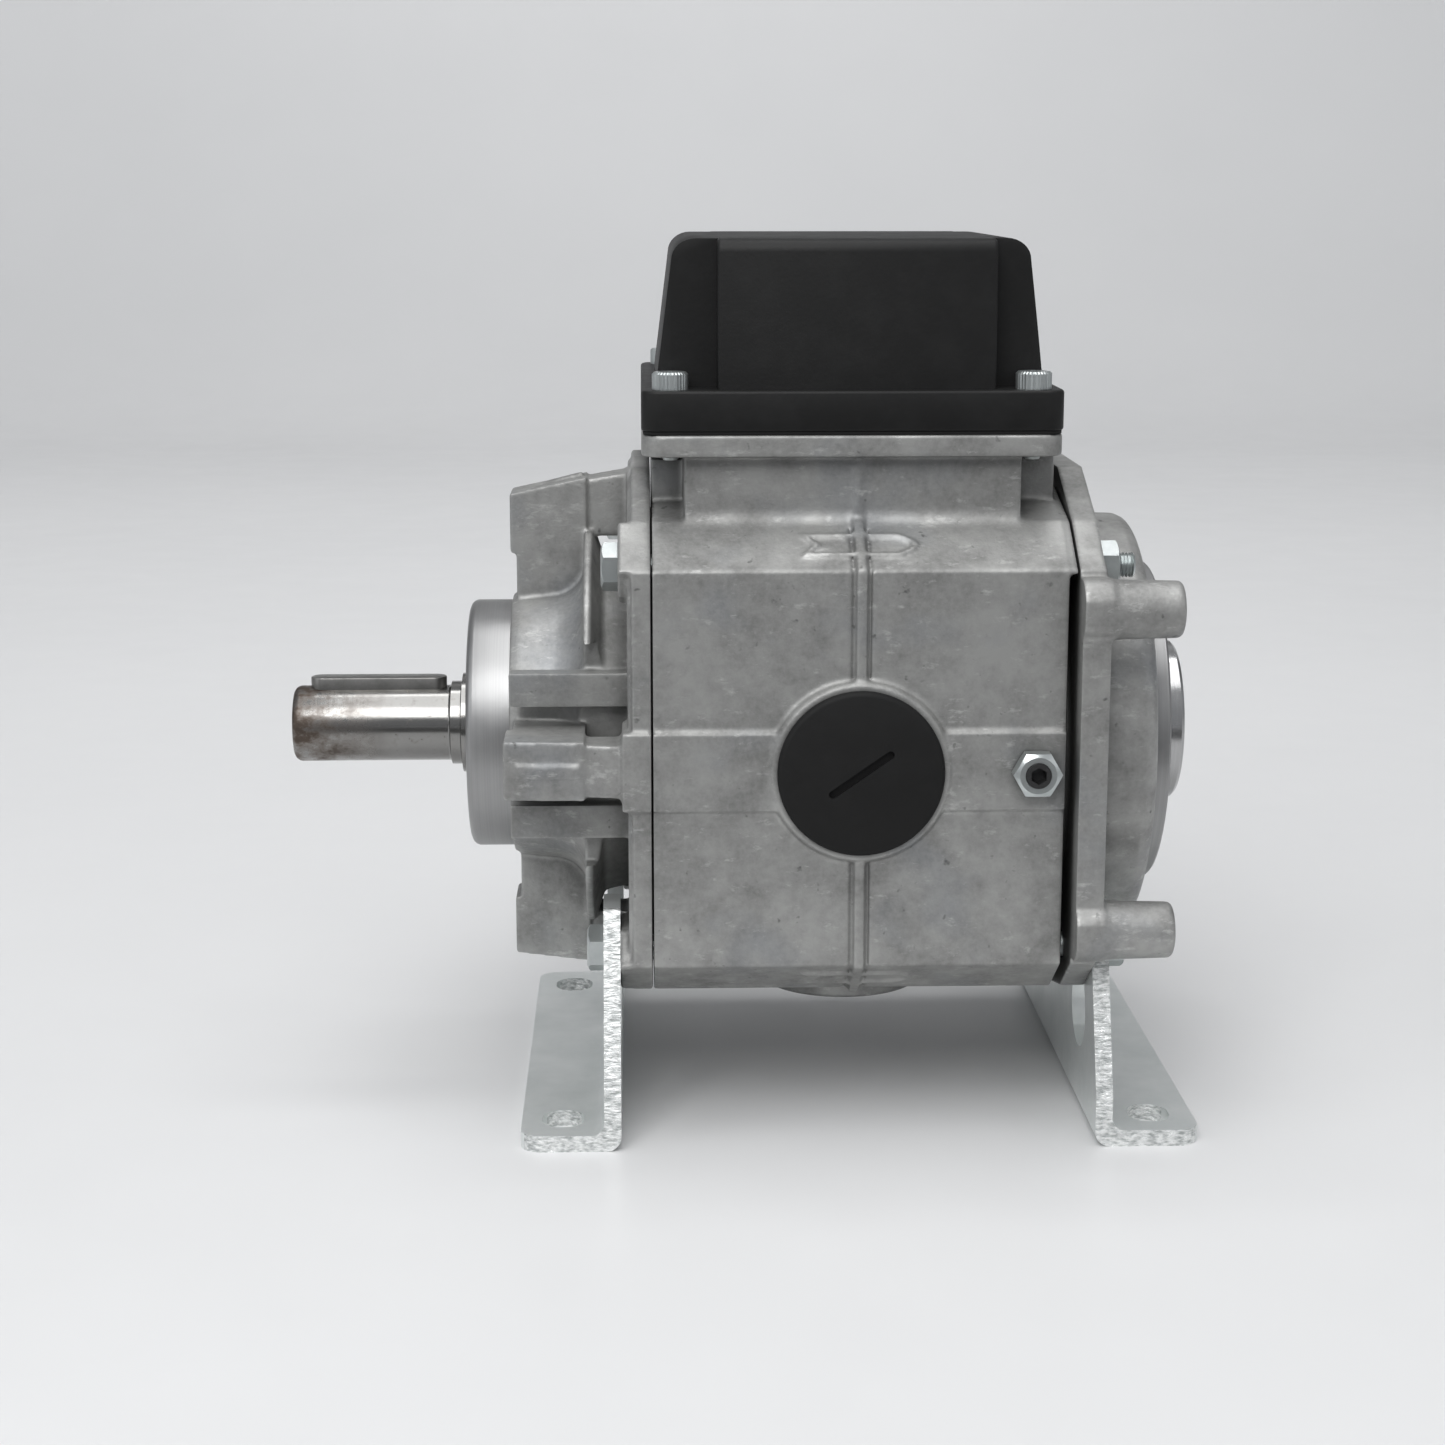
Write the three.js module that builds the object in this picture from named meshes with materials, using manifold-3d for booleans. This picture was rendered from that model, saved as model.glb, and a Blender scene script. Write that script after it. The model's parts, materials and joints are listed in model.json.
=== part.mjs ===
// Foot-mounted electromagnetic clutch-brake unit: a keyed output shaft on the left, a hollow input hub for a
// motor shaft on the right, and a terminal box on top. Millimetres, +X along the shaft towards the
// input side,
// +Y to the rear, +Z up. The origin is on the floor under the middle of the unit.
import * as THREE from 'three';
import { mergeVertices } from 'three/addons/utils/BufferGeometryUtils.js';
import Module from 'manifold-3d';

const wasm = await Module();
wasm.setup();

// ---------------------------------------------------------------- driving dimensions
const SHAFT_HEIGHT = 90;
const HALF_LENGTH = 110.75;
const HOUSING = {
  left: -21, right: 74.75, halfWidth: 60.5, flat: 46.8, shoulder: [45.8, 56.5],
  crown: [22, 62],
};
const BORE_RADIUS = 53.5;
const REGISTER_RADIUS = 53.2;
const MIDDLE = 27;
const BAND = { halfHeight: 9.4, proud: 1 };
const BOLT = { offset: 46, radius: 3, hole: 3.3, headHeight: 4, nutHeight: 5, acrossCorners: 11.5 };
const NOSE = { left: -66.25, right: -55.65, radius: 31 };
const LUG = {
  face: -55.85, back: -36.95, halfWidth: 7, inner: 30, recess: 43.9, holeCircle: 50,
  holeRadius: 3.4,
};
const LEFT_PLATE = { left: -25.95, right: -21.3, boss: -28.95, crownHeight: 66.5 };
const RIGHT_PLATE = { left: 77, right: 83.05 };
const INPUT_BODY = { radius: 52.5, right: 98.55, spigotRadius: 40, spigotRight: 103.45 };
const POST = { y: 62.5, z: 38, radius: 6.75, right: 100.3, earHalfHeight: 44.5, earOuter: 66.5 };
const WINDOW = { bossRadius: 20.8, holeRadius: 17, bossFace: 62.5 };
const PLUG = { radius: 19.4, face: 64.3, stemRadius: 16.7, stemEnd: 55, slotAngle: 35 };
const LID = { centre: 25.5, halfLength: 48.85, halfWidth: 50.5, seat: 77.6, flangeTop: 87, top: 121.2 };
const LID_SCREW = { x: 42.1, y: 44, headRadius: 4.2, headHeight: 4, shankRadius: 2 };
const BOX_FLANGE = { bottom: 71.7, top: 77 };
const FOOT = {
  sheet: 4, halfWidth: 66.5, topHalfWidth: 52, top: -34, bendRadius: 4, archRadius: 53.5,
  notch: 9,
};
const SHAFT = { end: 9.5, step: 10.5, seat: 12.5, shoulder: 15.5, hubSeat: 12, pilot: 8.5 };
const OUTPUT_BEARING = { left: -60.25, right: -45.25, bore: 12.55, outer: 26, ballRadius: 3.9 };
const INPUT_BEARING = { left: 70.2, right: 85.2, bore: 20.05, outer: 34, ballRadius: 3.9 };
const MAGNET = { inner: 30.5, outer: 50, slotInner: 35.5, slotOuter: 45.5 };
const BRAKE = { back: -15.5, face: 16.5 };
const CLUTCH = { face: 37.5, webLeft: 42.5, webRight: 45.5, magnetLeft: 47, magnetRight: 66.3 };
const ARMATURE = { gap: 0.4, stopGap: 0.05, outer: 49.5, halfFlange: 3, pocketOuter: 29.2, pocketDepth: 2.5 };
const ARMATURE_HUB = { halfLength: 12.6, hexInradius: 20, flangeRadius: 30 };
const FACETS = { outside: 36, inside: 24, bolt: 10 };

// ---------------------------------------------------------------- materials
function finish(color, roughness, metalness) {
  return new THREE.MeshStandardMaterial({ color, roughness, metalness });
}

const castAluminium = finish(0x8f8f8c, 0.6, 0.8);
const machinedSteel = finish(0xb9b9b6, 0.25, 1);
const zincPlate = finish(0xc4ccd0, 0.35, 0.9);
const bearingSteel = finish(0xa5a7a9, 0.2, 1);
const magnetSteel = finish(0x5d6063, 0.5, 0.9);
const copper = finish(0x9c5a32, 0.4, 0.8);
const lining = finish(0x3a332c, 0.9, 0);
const springSteel = finish(0x54575c, 0.4, 0.9);
const bronze = finish(0xa8824a, 0.5, 0.9);
const blackPlastic = finish(0x17181a, 0.5, 0);
const blackRubber = finish(0x1b1b1c, 0.8, 0);
const blackSteel = finish(0x232427, 0.5, 0.6);
const phenolic = finish(0x3c2a1d, 0.6, 0);

// ---------------------------------------------------------------- shapes and solids
/**
 * A closed geometry as a solid: vertices merged, slivers on a lathe's axis dropped, faces turned
 * outwards.
 */
function toSolid(shape) {
  if (shape instanceof wasm.Manifold) {
    return shape;
  }
  const bare = new THREE.BufferGeometry();
  bare.setAttribute('position', shape.getAttribute('position'));
  bare.setIndex(shape.index);
  const merged = mergeVertices(bare, 1e-4);
  const points = merged.getAttribute('position');
  const corners = [0, 1, 2].map(() => new THREE.Vector3());
  const triangles = [];
  let volume = 0;
  for (let i = 0; i < merged.index.count; i += 3) {
    const face = [0, 1, 2].map((k) => merged.index.getX(i + k));
    if (new Set(face).size < 3) {
      continue;
    }
    face.forEach((index, k) => corners[k].fromBufferAttribute(points, index));
    volume += corners[0].dot(corners[1].clone().cross(corners[2]));
    triangles.push(face);
  }
  const outward = volume > 0 ? triangles : triangles.map(([a, b, c]) => [a, c, b]);
  return new wasm.Manifold(new wasm.Mesh({
    numProp: 3,
    vertProperties: new Float32Array(points.array),
    triVerts: new Uint32Array(outward.flat()),
  }));
}

function join(...shapes) {
  return shapes.map(toSolid).reduce((sum, piece) => sum.add(piece));
}

function cut(shape, ...tools) {
  return tools.map(toSolid).reduce((rest, tool) => rest.subtract(tool), toSolid(shape));
}

function box(x0, x1, y0, y1, z0, z1) {
  const geometry = new THREE.BoxGeometry(x1 - x0, y1 - y0, z1 - z0);
  return geometry.translate((x0 + x1) / 2, (y0 + y1) / 2, (z0 + z1) / 2);
}

function rodX(y, z, radius, x0, x1, sides = FACETS.bolt) {
  const geometry = new THREE.CylinderGeometry(radius, radius, x1 - x0, sides).rotateZ(Math.PI / 2);
  return geometry.translate((x0 + x1) / 2, y, z);
}

function rodY(x, z, radius, y0, y1, sides = FACETS.bolt) {
  const geometry = new THREE.CylinderGeometry(radius, radius, y1 - y0, sides);
  return geometry.translate(x, (y0 + y1) / 2, z);
}

function rodZ(x, y, radius, z0, z1, sides = FACETS.bolt) {
  const geometry = new THREE.CylinderGeometry(radius, radius, z1 - z0, sides).rotateX(Math.PI / 2);
  return geometry.translate(x, y, (z0 + z1) / 2);
}

/** Turn a profile of [x, radius] points about the shaft axis. */
function turned(profile, sides = FACETS.inside) {
  const points = profile.map(([x, radius]) => new THREE.Vector2(radius, x));
  return new THREE.LatheGeometry(points, sides).rotateZ(-Math.PI / 2);
}

/** The same for a profile that closes on itself, which leaves a hole along the axis. */
function turnedRing(profile, sides = FACETS.inside) {
  return turned([...profile, profile[0]], sides);
}

function ring(x0, x1, inner, outer, sides = FACETS.inside) {
  return turnedRing([[x0, inner], [x0, outer], [x1, outer], [x1, inner]], sides);
}

function outline(points) {
  return new THREE.Shape(points.map(([a, b]) => new THREE.Vector2(a, b)));
}

/** A flat outline of (y, z) points, made solid from x0 to x1. */
function slabX(shape, x0, x1) {
  const geometry = new THREE.ExtrudeGeometry(shape,
    { depth: x1 - x0, bevelEnabled: false, curveSegments: 3 });
  const basis = new THREE.Matrix4().makeBasis(
    new THREE.Vector3(0, 1, 0),
    new THREE.Vector3(0, 0, 1),
    new THREE.Vector3(1, 0, 0),
  );
  return geometry.applyMatrix4(basis).translate(x0, 0, 0);
}

/** A flat outline of (x, z) points, made solid from y0 to y1. */
function slabY(shape, y0, y1) {
  const geometry = new THREE.ExtrudeGeometry(shape,
    { depth: y1 - y0, bevelEnabled: false, curveSegments: 3 });
  return geometry.rotateX(Math.PI / 2).translate(0, y1, 0);
}

/** A flat outline of (x, y) points, made solid from z0 to z1. */
function slabZ(shape, z0, z1) {
  const geometry = new THREE.ExtrudeGeometry(shape,
    { depth: z1 - z0, bevelEnabled: false, curveSegments: 3 });
  return geometry.translate(0, 0, z0);
}

function roundedRectangle(x0, x1, y0, y1, radius) {
  const shape = new THREE.Shape();
  shape.moveTo(x0 + radius, y0);
  shape.lineTo(x1 - radius, y0);
  shape.absarc(x1 - radius, y0 + radius, radius, -Math.PI / 2, 0);
  shape.lineTo(x1, y1 - radius);
  shape.absarc(x1 - radius, y1 - radius, radius, 0, Math.PI / 2);
  shape.lineTo(x0 + radius, y1);
  shape.absarc(x0 + radius, y1 - radius, radius, Math.PI / 2, Math.PI);
  shape.lineTo(x0, y0 + radius);
  shape.absarc(x0 + radius, y0 + radius, radius, Math.PI, Math.PI * 1.5);
  return shape;
}

function hexagonBar(inradius, x0, x1) {
  return rodX(0, 0, inradius / Math.cos(Math.PI / 6), x0, x1, 6);
}

/** Two limits in rising order. */
function span(a, b) {
  return a < b ? [a, b] : [b, a];
}

/** The four quadrant signs of the bolt and screw patterns. */
const QUADRANTS = [[-1, 1], [1, 1], [-1, -1], [1, -1]];

// ---------------------------------------------------------------- castings
/** The octagon that the housing and both end plates share, with its crown at the given height. */
function bodyOutline(crownHeight = HOUSING.crown[1], floorDepth = HOUSING.crown[1]) {
  const [shoulderY, shoulderZ] = HOUSING.shoulder;
  const crownY = HOUSING.crown[0];
  return outline([
    [HOUSING.halfWidth, -HOUSING.flat], [HOUSING.halfWidth, HOUSING.flat], [shoulderY, shoulderZ],
    [crownY, crownHeight], [-crownY, crownHeight], [-shoulderY, shoulderZ],
    [-HOUSING.halfWidth, HOUSING.flat],
    [-HOUSING.halfWidth, -HOUSING.flat], [-shoulderY, -shoulderZ], [-crownY, -floorDepth],
    [crownY, -floorDepth],
    [shoulderY, -shoulderZ],
  ]);
}

function bands(x0, x1, inner) {
  const outer = HOUSING.halfWidth + BAND.proud;
  return [-1, 1].map((side) => (
    box(x0, x1, ...span(side * inner, side * outer), -BAND.halfHeight, BAND.halfHeight)
  ));
}

const SET_SCREW = { x: 67.6, outerEnd: -67, innerEnd: -55, radius: 3, socketRadius: 1.75 };
const POCKET = { x0: -9, x1: 61, halfWidth: 38, floor: 58.5 };
const NECK = { x0: -13.45, x1: 65, halfWidth: 45.5 };
const BOTTOM_BOSS = { radius: 21.5, bottom: -67.3 };
const RIB = { halfWidth: 1.2, proud: 0.7 };

function mainHousing() {
  const reach = HOUSING.halfWidth + RIB.proud;
  const flangeX = [LID.centre - LID.halfLength, LID.centre + LID.halfLength];
  const flangeShape = roundedRectangle(...flangeX, -LID.halfWidth, LID.halfWidth, 4);
  const body = join(
    slabX(bodyOutline(), HOUSING.left, HOUSING.right),
    ...bands(HOUSING.left, HOUSING.right, 55),
    rodY(MIDDLE, 0, WINDOW.bossRadius, -WINDOW.bossFace, WINDOW.bossFace, 36),
    box(MIDDLE - RIB.halfWidth, MIDDLE + RIB.halfWidth, -reach, reach, -HOUSING.flat, HOUSING.flat),
    rodZ(MIDDLE, 0, BOTTOM_BOSS.radius, BOTTOM_BOSS.bottom, -40, 32),
    box(NECK.x0, NECK.x1, -NECK.halfWidth, NECK.halfWidth, 40, BOX_FLANGE.bottom + 1),
    slabZ(flangeShape, BOX_FLANGE.bottom, BOX_FLANGE.top),
  );
  const beyond = [HOUSING.left - 5, HOUSING.right + 5];
  const boltHoles = QUADRANTS.map(([y, z]) => rodX(y * BOLT.offset, z * BOLT.offset, BOLT.hole, ...beyond));
  const screwHoles = QUADRANTS.map(([x, y]) => rodZ(
    LID.centre + x * LID_SCREW.x, y * LID_SCREW.y, LID_SCREW.shankRadius + 0.3, BOX_FLANGE.bottom - 1, BOX_FLANGE.top + 1, 6,
  ));
  return cut(
    body,
    rodX(0, 0, BORE_RADIUS, ...beyond, FACETS.outside),
    rodY(MIDDLE, 0, WINDOW.holeRadius, -70, 70, 24),
    box(POCKET.x0, POCKET.x1, -POCKET.halfWidth, POCKET.halfWidth, POCKET.floor, BOX_FLANGE.top + 1),
    rodZ(52, 20, 6, 40, POCKET.floor + 1),
    rodY(SET_SCREW.x, 0, SET_SCREW.radius + 0.25, -70, -40),
    ...boltHoles,
    ...screwHoles,
  );
}

const SIDE_RIB = { left: -52, inner: 36, outer: 42, z: 16, halfHeight: 4 };

/** One radial lug of the output shield, pointing up before it is turned to its place. */
function shieldLug(quarter, tip) {
  const lug = outline([
    [LUG.face + 1.5, LUG.inner], [LUG.face + 1.5, LUG.recess], [LUG.face, LUG.recess], [LUG.face, 58.6],
    [LUG.back, tip - 1.4], [LUG.back, 46], [LUG.back - 3, 38], [LUG.back - 12, LUG.inner],
  ]);
  const strut = outline([
    [LUG.back - 2, 48], [LUG.back - 2, tip - 2.4], [LEFT_PLATE.left + 1, tip], [LEFT_PLATE.left + 1, 48],
  ]);
  const solid = join(
    slabY(lug, -LUG.halfWidth, LUG.halfWidth).rotateX(quarter * Math.PI / 2),
    slabY(strut, -LUG.halfWidth + 0.8, LUG.halfWidth - 0.8).rotateX(quarter * Math.PI / 2),
  );
  const hole = rodX(0, LUG.holeCircle, LUG.holeRadius, LUG.face - 1, LUG.face + 13);
  return cut(solid, hole.rotateX(quarter * Math.PI / 2));
}

/** The pad under a through-bolt head, inside the corner of the body outline. */
function boltPad(signY, signZ) {
  const [shoulderY, shoulderZ] = HOUSING.shoulder;
  const corner = [[HOUSING.halfWidth, HOUSING.flat], [shoulderY, shoulderZ], [37, 53], [38, 40], [46, 37.5],
    [54, 40], [59, 45.6]];
  return slabX(outline(corner.map(([y, z]) => [y * signY, z * signZ])), LEFT_PLATE.boss, LEFT_PLATE.left + 1);
}

function outputEndShield() {
  const nose = NOSE.radius;
  const shell = turnedRing([
    [NOSE.left, 20.15], [NOSE.left, nose - 1.4], [NOSE.left + 1.4, nose], [NOSE.right, nose],
    [NOSE.right, nose + 2], [-46, 34], [-39.5, 40], [-37.2, 50], [-35, 50], [-32, 42], [LEFT_PLATE.left, 41],
    [LEFT_PLATE.right, 46], [LEFT_PLATE.right, REGISTER_RADIUS], [-15.8, REGISTER_RADIUS], [-15.8, 35],
    [-33, 33],
    [-43.4, 30], [-43.4, 27.8], [OUTPUT_BEARING.right + 0.1, 27.8], [OUTPUT_BEARING.right + 0.1, 26.15],
    [OUTPUT_BEARING.left, 26.15], [OUTPUT_BEARING.left, 20.15],
  ], FACETS.outside);
  const plate = cut(
    slabX(bodyOutline(LEFT_PLATE.crownHeight), LEFT_PLATE.left, LEFT_PLATE.right),
    rodX(0, 0, 40.5, LEFT_PLATE.left - 1, LEFT_PLATE.right + 1, FACETS.inside),
  );
  const tips = [64, 61, 62.4, 61];
  const body = join(
    shell,
    plate,
    ...bands(LEFT_PLATE.boss + 0.7, LEFT_PLATE.left + 1, 45),
    ...bands(LEFT_PLATE.left, LEFT_PLATE.right, 55),
    ...QUADRANTS.map(([y, z]) => boltPad(y, z)),
    ...tips.map((tip, quarter) => shieldLug(quarter, tip)),
    ...QUADRANTS.map(([y, z]) => box(
      SIDE_RIB.left, LEFT_PLATE.left + 1, ...span(y * SIDE_RIB.inner, y * SIDE_RIB.outer),
      z * SIDE_RIB.z - SIDE_RIB.halfHeight, z * SIDE_RIB.z + SIDE_RIB.halfHeight,
    )),
  );
  const holes = QUADRANTS.map(([y, z]) => rodX(y * BOLT.offset, z * BOLT.offset, BOLT.hole, -40, -10));
  return cut(body, ...holes);
}

function inputFlange() {
  const { radius, right, spigotRadius, spigotRight } = INPUT_BODY;
  const bearing = INPUT_BEARING;
  const shell = turnedRing([
    [CLUTCH.magnetRight + 0.3, 36.8], [CLUTCH.magnetRight + 0.3, 47], [72, 47], [72, REGISTER_RADIUS],
    [RIGHT_PLATE.right, REGISTER_RADIUS], [RIGHT_PLATE.right, radius], [right - 2.6, radius],
    [right, radius - 2.6],
    [right, spigotRadius], [spigotRight - 0.8, spigotRadius], [spigotRight, spigotRadius - 0.8],
    [spigotRight, 21],
    [88.5, 21], [88.5, 25], [bearing.right + 0.1, 25], [bearing.right + 0.1, 34.2],
    [bearing.left - 0.1, 34.2],
    [bearing.left - 0.1, 36.8],
  ], FACETS.outside);
  const plate = cut(
    slabX(bodyOutline(LEFT_PLATE.crownHeight), RIGHT_PLATE.left, RIGHT_PLATE.right),
    rodX(0, 0, 46, RIGHT_PLATE.left - 1, RIGHT_PLATE.right + 1, FACETS.inside),
  );
  const rims = [-1, 1].map((side) => box(
    RIGHT_PLATE.left, RIGHT_PLATE.right, ...span(side * 56, side * POST.earOuter), -POST.earHalfHeight,
    POST.earHalfHeight,
  ));
  const posts = QUADRANTS.map(([y, z]) => turned([
    [RIGHT_PLATE.left, 0], [RIGHT_PLATE.left, POST.radius], [POST.right - 1, POST.radius],
    [POST.right, POST.radius - 1],
    [POST.right, 0],
  ], 12).translate(0, y * POST.y, z * POST.z));
  const holes = QUADRANTS.map(([y, z]) => rodX(y * BOLT.offset, z * BOLT.offset, BOLT.hole, 60, 90));
  const nutSeats = QUADRANTS.map(([y, z]) => rodX(y * BOLT.offset, z * BOLT.offset, 8.4, RIGHT_PLATE.right,
    97));
  const postHoles = QUADRANTS.map(([y, z]) => rodX(y * POST.y, z * POST.z, 2.5, 88, POST.right + 1, 8));
  return cut(join(shell, plate, ...rims, ...posts), ...holes, ...nutSeats, ...postHoles);
}

// ---------------------------------------------------------------- feet
/**
 * A bent sheet foot: the wall stands on the fastening face at wallX, the base runs out in the given
 * direction.
 */
function footBracket(wallX, outEnd, direction) {
  const inside = wallX + direction * FOOT.sheet;
  const [x0, x1] = span(wallX, inside);
  const topCorner = 5;
  const wallShape = new THREE.Shape();
  wallShape.moveTo(-FOOT.halfWidth, -SHAFT_HEIGHT + FOOT.sheet / 2);
  wallShape.lineTo(FOOT.halfWidth, -SHAFT_HEIGHT + FOOT.sheet / 2);
  wallShape.lineTo(FOOT.halfWidth, -SHAFT_HEIGHT + 12);
  wallShape.lineTo(FOOT.topHalfWidth, FOOT.top - topCorner);
  wallShape.absarc(FOOT.topHalfWidth - topCorner, FOOT.top - topCorner, topCorner, 0, Math.PI / 2);
  wallShape.lineTo(topCorner - FOOT.topHalfWidth, FOOT.top);
  wallShape.absarc(topCorner - FOOT.topHalfWidth, FOOT.top - topCorner, topCorner, Math.PI / 2, Math.PI);
  wallShape.lineTo(-FOOT.halfWidth, -SHAFT_HEIGHT + 12);
  const baseShape = roundedRectangle(...span(wallX, outEnd), -FOOT.halfWidth, FOOT.halfWidth, 5);
  const square = box(x0, x1, -FOOT.halfWidth, FOOT.halfWidth, -SHAFT_HEIGHT, -SHAFT_HEIGHT + FOOT.sheet);
  const baseTop = -SHAFT_HEIGHT + FOOT.sheet;
  const fillet = outline([
    [inside - direction, baseTop + FOOT.bendRadius], [inside, baseTop + FOOT.bendRadius],
    [inside + direction * 1.2, baseTop + 1.2], [inside + direction * FOOT.bendRadius, baseTop],
    [inside + direction * FOOT.bendRadius, baseTop - 1], [inside - direction, baseTop - 1],
  ]);
  const slotX = (inside + outEnd) / 2;
  const holes = [-1, 1].flatMap((side) => [
    slabZ(roundedRectangle(slotX - 5, slotX + 5, side * 54.5 - 6, side * 54.5 + 6, 4.9), -95, -80),
    rodX(side * BOLT.offset, -BOLT.offset, BOLT.hole, wallX - 10, wallX + 10),
    rodX(side * 38, -64, 10, wallX - 10, wallX + 10, 16),
  ]);
  const arch = [
    rodX(0, 0, FOOT.archRadius, wallX - 10, wallX + 10, FACETS.inside),
    box(wallX - 10, wallX + 10, -FOOT.notch, FOOT.notch, -67, 0),
  ];
  const outsideCorner = outline([
    [wallX + direction * 2.4, -SHAFT_HEIGHT - 1], [wallX - direction, -SHAFT_HEIGHT - 1],
    [wallX - direction, baseTop - 0.8], [wallX, baseTop - 0.8],
    [wallX + direction * 0.7, -SHAFT_HEIGHT + 0.9], [wallX + direction * 2.4, -SHAFT_HEIGHT],
  ]);
  return cut(
    join(
      slabX(wallShape, x0, x1),
      slabZ(baseShape, -SHAFT_HEIGHT, -SHAFT_HEIGHT + FOOT.sheet),
      square,
      slabY(fillet, -FOOT.halfWidth, FOOT.halfWidth),
    ),
    slabY(outsideCorner, -FOOT.halfWidth - 1, FOOT.halfWidth + 1),
    ...arch,
    ...holes,
  );
}

// ---------------------------------------------------------------- terminal box
const ENTRY = { z: 102, radius: 8, face: 48 };

/** The lid's crown seen from the front: sloping ends with large top corners. */
function lidFrontOutline(inset, top) {
  const shape = new THREE.Shape();
  const [baseHalf, topHalf] = [46.3 - inset, 41 - inset];
  shape.moveTo(LID.centre - baseHalf, LID.seat + 2);
  shape.lineTo(LID.centre + baseHalf, LID.seat + 2);
  shape.lineTo(LID.centre + topHalf + 0.7, top - 5);
  shape.quadraticCurveTo(LID.centre + topHalf, top, LID.centre + topHalf - 5, top);
  shape.lineTo(LID.centre - topHalf + 5, top);
  shape.quadraticCurveTo(LID.centre - topHalf, top, LID.centre - topHalf - 0.7, top - 5);
  return shape;
}

/** The lid's raised middle panel seen from the end. */
function lidPanelOutline(inset, top) {
  const [baseHalf, topHalf] = [46.8 - inset, 45.4 - inset];
  return outline([
    [-baseHalf, LID.seat + 2], [baseHalf, LID.seat + 2], [topHalf, top - 3], [topHalf - 0.9, top - 0.9],
    [topHalf - 3, top], [3 - topHalf, top], [0.9 - topHalf, top - 0.9], [-topHalf, top - 3],
  ]);
}

function terminalBoxLid() {
  const [x0, x1] = [LID.centre - LID.halfLength, LID.centre + LID.halfLength];
  const wall = 3;
  const shell = join(
    slabZ(roundedRectangle(x0, x1, -LID.halfWidth, LID.halfWidth, 3), LID.seat, LID.flangeTop),
    slabY(lidFrontOutline(0, LID.top), -38, 38),
    slabX(lidPanelOutline(0, LID.top), LID.centre - 31.2, LID.centre + 33.2),
    rodY(LID.centre, ENTRY.z, 12, 40, ENTRY.face, 24),
  );
  const screwHoles = QUADRANTS.map(([x, y]) => rodZ(
    LID.centre + x * LID_SCREW.x, y * LID_SCREW.y, LID_SCREW.shankRadius + 0.3, LID.seat - 1, LID.flangeTop + 1, 6,
  ));
  return cut(
    shell,
    slabY(lidFrontOutline(wall + 3, LID.top - wall), -35, 35),
    slabX(lidPanelOutline(wall, LID.top - wall), LID.centre - 28, LID.centre + 30),
    box(LID.centre - 40, LID.centre + 40, -35, 35, LID.seat - 1, LID.seat + 5),
    rodY(LID.centre, ENTRY.z, ENTRY.radius, 35, ENTRY.face + 1, 16),
    ...screwHoles,
  );
}

function lidGasket() {
  const [x0, x1] = [LID.centre - LID.halfLength + 0.4, LID.centre + LID.halfLength - 0.4];
  const outer = slabZ(roundedRectangle(x0, x1, -LID.halfWidth + 0.4, LID.halfWidth - 0.4, 3.5),
    BOX_FLANGE.top, LID.seat);
  const holes = QUADRANTS.map(([x, y]) => rodZ(
    LID.centre + x * LID_SCREW.x, y * LID_SCREW.y, LID_SCREW.shankRadius + 0.3, BOX_FLANGE.top - 1, LID.seat + 1, 6,
  ));
  return cut(outer, box(LID.centre - 37, LID.centre + 37, -38, 38, BOX_FLANGE.top - 1, LID.seat + 1),
    ...holes);
}

/** A cheese-head screw with a driver slot, standing on the lid's flange. */
function lidScrew(signX, signY) {
  const [x, y] = [LID.centre + signX * LID_SCREW.x, signY * LID_SCREW.y];
  const head = LID.flangeTop + LID_SCREW.headHeight;
  return cut(
    join(
      rodZ(x, y, LID_SCREW.headRadius, LID.flangeTop, head, 12),
      rodZ(x, y, LID_SCREW.shankRadius, BOX_FLANGE.bottom - 1, LID.flangeTop + 1, 6),
    ),
    box(x - 2.6, x + 2.6, y - 0.6, y + 0.6, head - 1.5, head + 1),
  );
}

const TERMINALS = { x: [8, 20, 32, 44], top: 72, screwRadius: 2.6 };

function terminalBlock() {
  const block = box(1, 51, -10, 10, POCKET.floor, TERMINALS.top);
  const wells = TERMINALS.x.map((x) => rodZ(x, 0, TERMINALS.screwRadius + 0.4, TERMINALS.top - 8,
    TERMINALS.top + 1));
  const fences = [2, 14, 26, 38, 50].map((x) => box(x - 0.8, x + 0.8, -10, 10, TERMINALS.top - 1,
    TERMINALS.top + 3));
  return join(cut(block, ...wells), ...fences);
}

function terminalScrew(x) {
  return cut(
    rodZ(x, 0, TERMINALS.screwRadius, TERMINALS.top - 8, TERMINALS.top - 2),
    box(x - 3, x + 3, -0.5, 0.5, TERMINALS.top - 3.4, TERMINALS.top),
  );
}

function cableEntryPlug() {
  return cut(
    join(
      rodY(LID.centre, ENTRY.z, 10.5, ENTRY.face, ENTRY.face + 4, 20),
      rodY(LID.centre, ENTRY.z, ENTRY.radius - 0.3, ENTRY.face - 6, ENTRY.face + 1, 16),
    ),
    box(LID.centre - 7, LID.centre + 7, ENTRY.face + 2.4, ENTRY.face + 5, ENTRY.z - 1.1, ENTRY.z + 1.1),
  );
}

// ---------------------------------------------------------------- plugs and screws on the housing
/** A rubber plug over an inspection window; side is -1 at the front and 1 at the rear. */
function inspectionPlug(side) {
  const slot = new THREE.BoxGeometry(18, 2, 1.9).rotateY(THREE.MathUtils.degToRad(side * PLUG.slotAngle));
  return cut(
    join(
      rodY(MIDDLE, 0, PLUG.radius, ...span(side * WINDOW.bossFace, side * PLUG.face), 30),
      rodY(MIDDLE, 0, PLUG.stemRadius, ...span(side * PLUG.stemEnd, side * (WINDOW.bossFace + 1)), 20),
    ),
    slot.translate(MIDDLE, side * PLUG.face, 0),
  );
}

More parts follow.
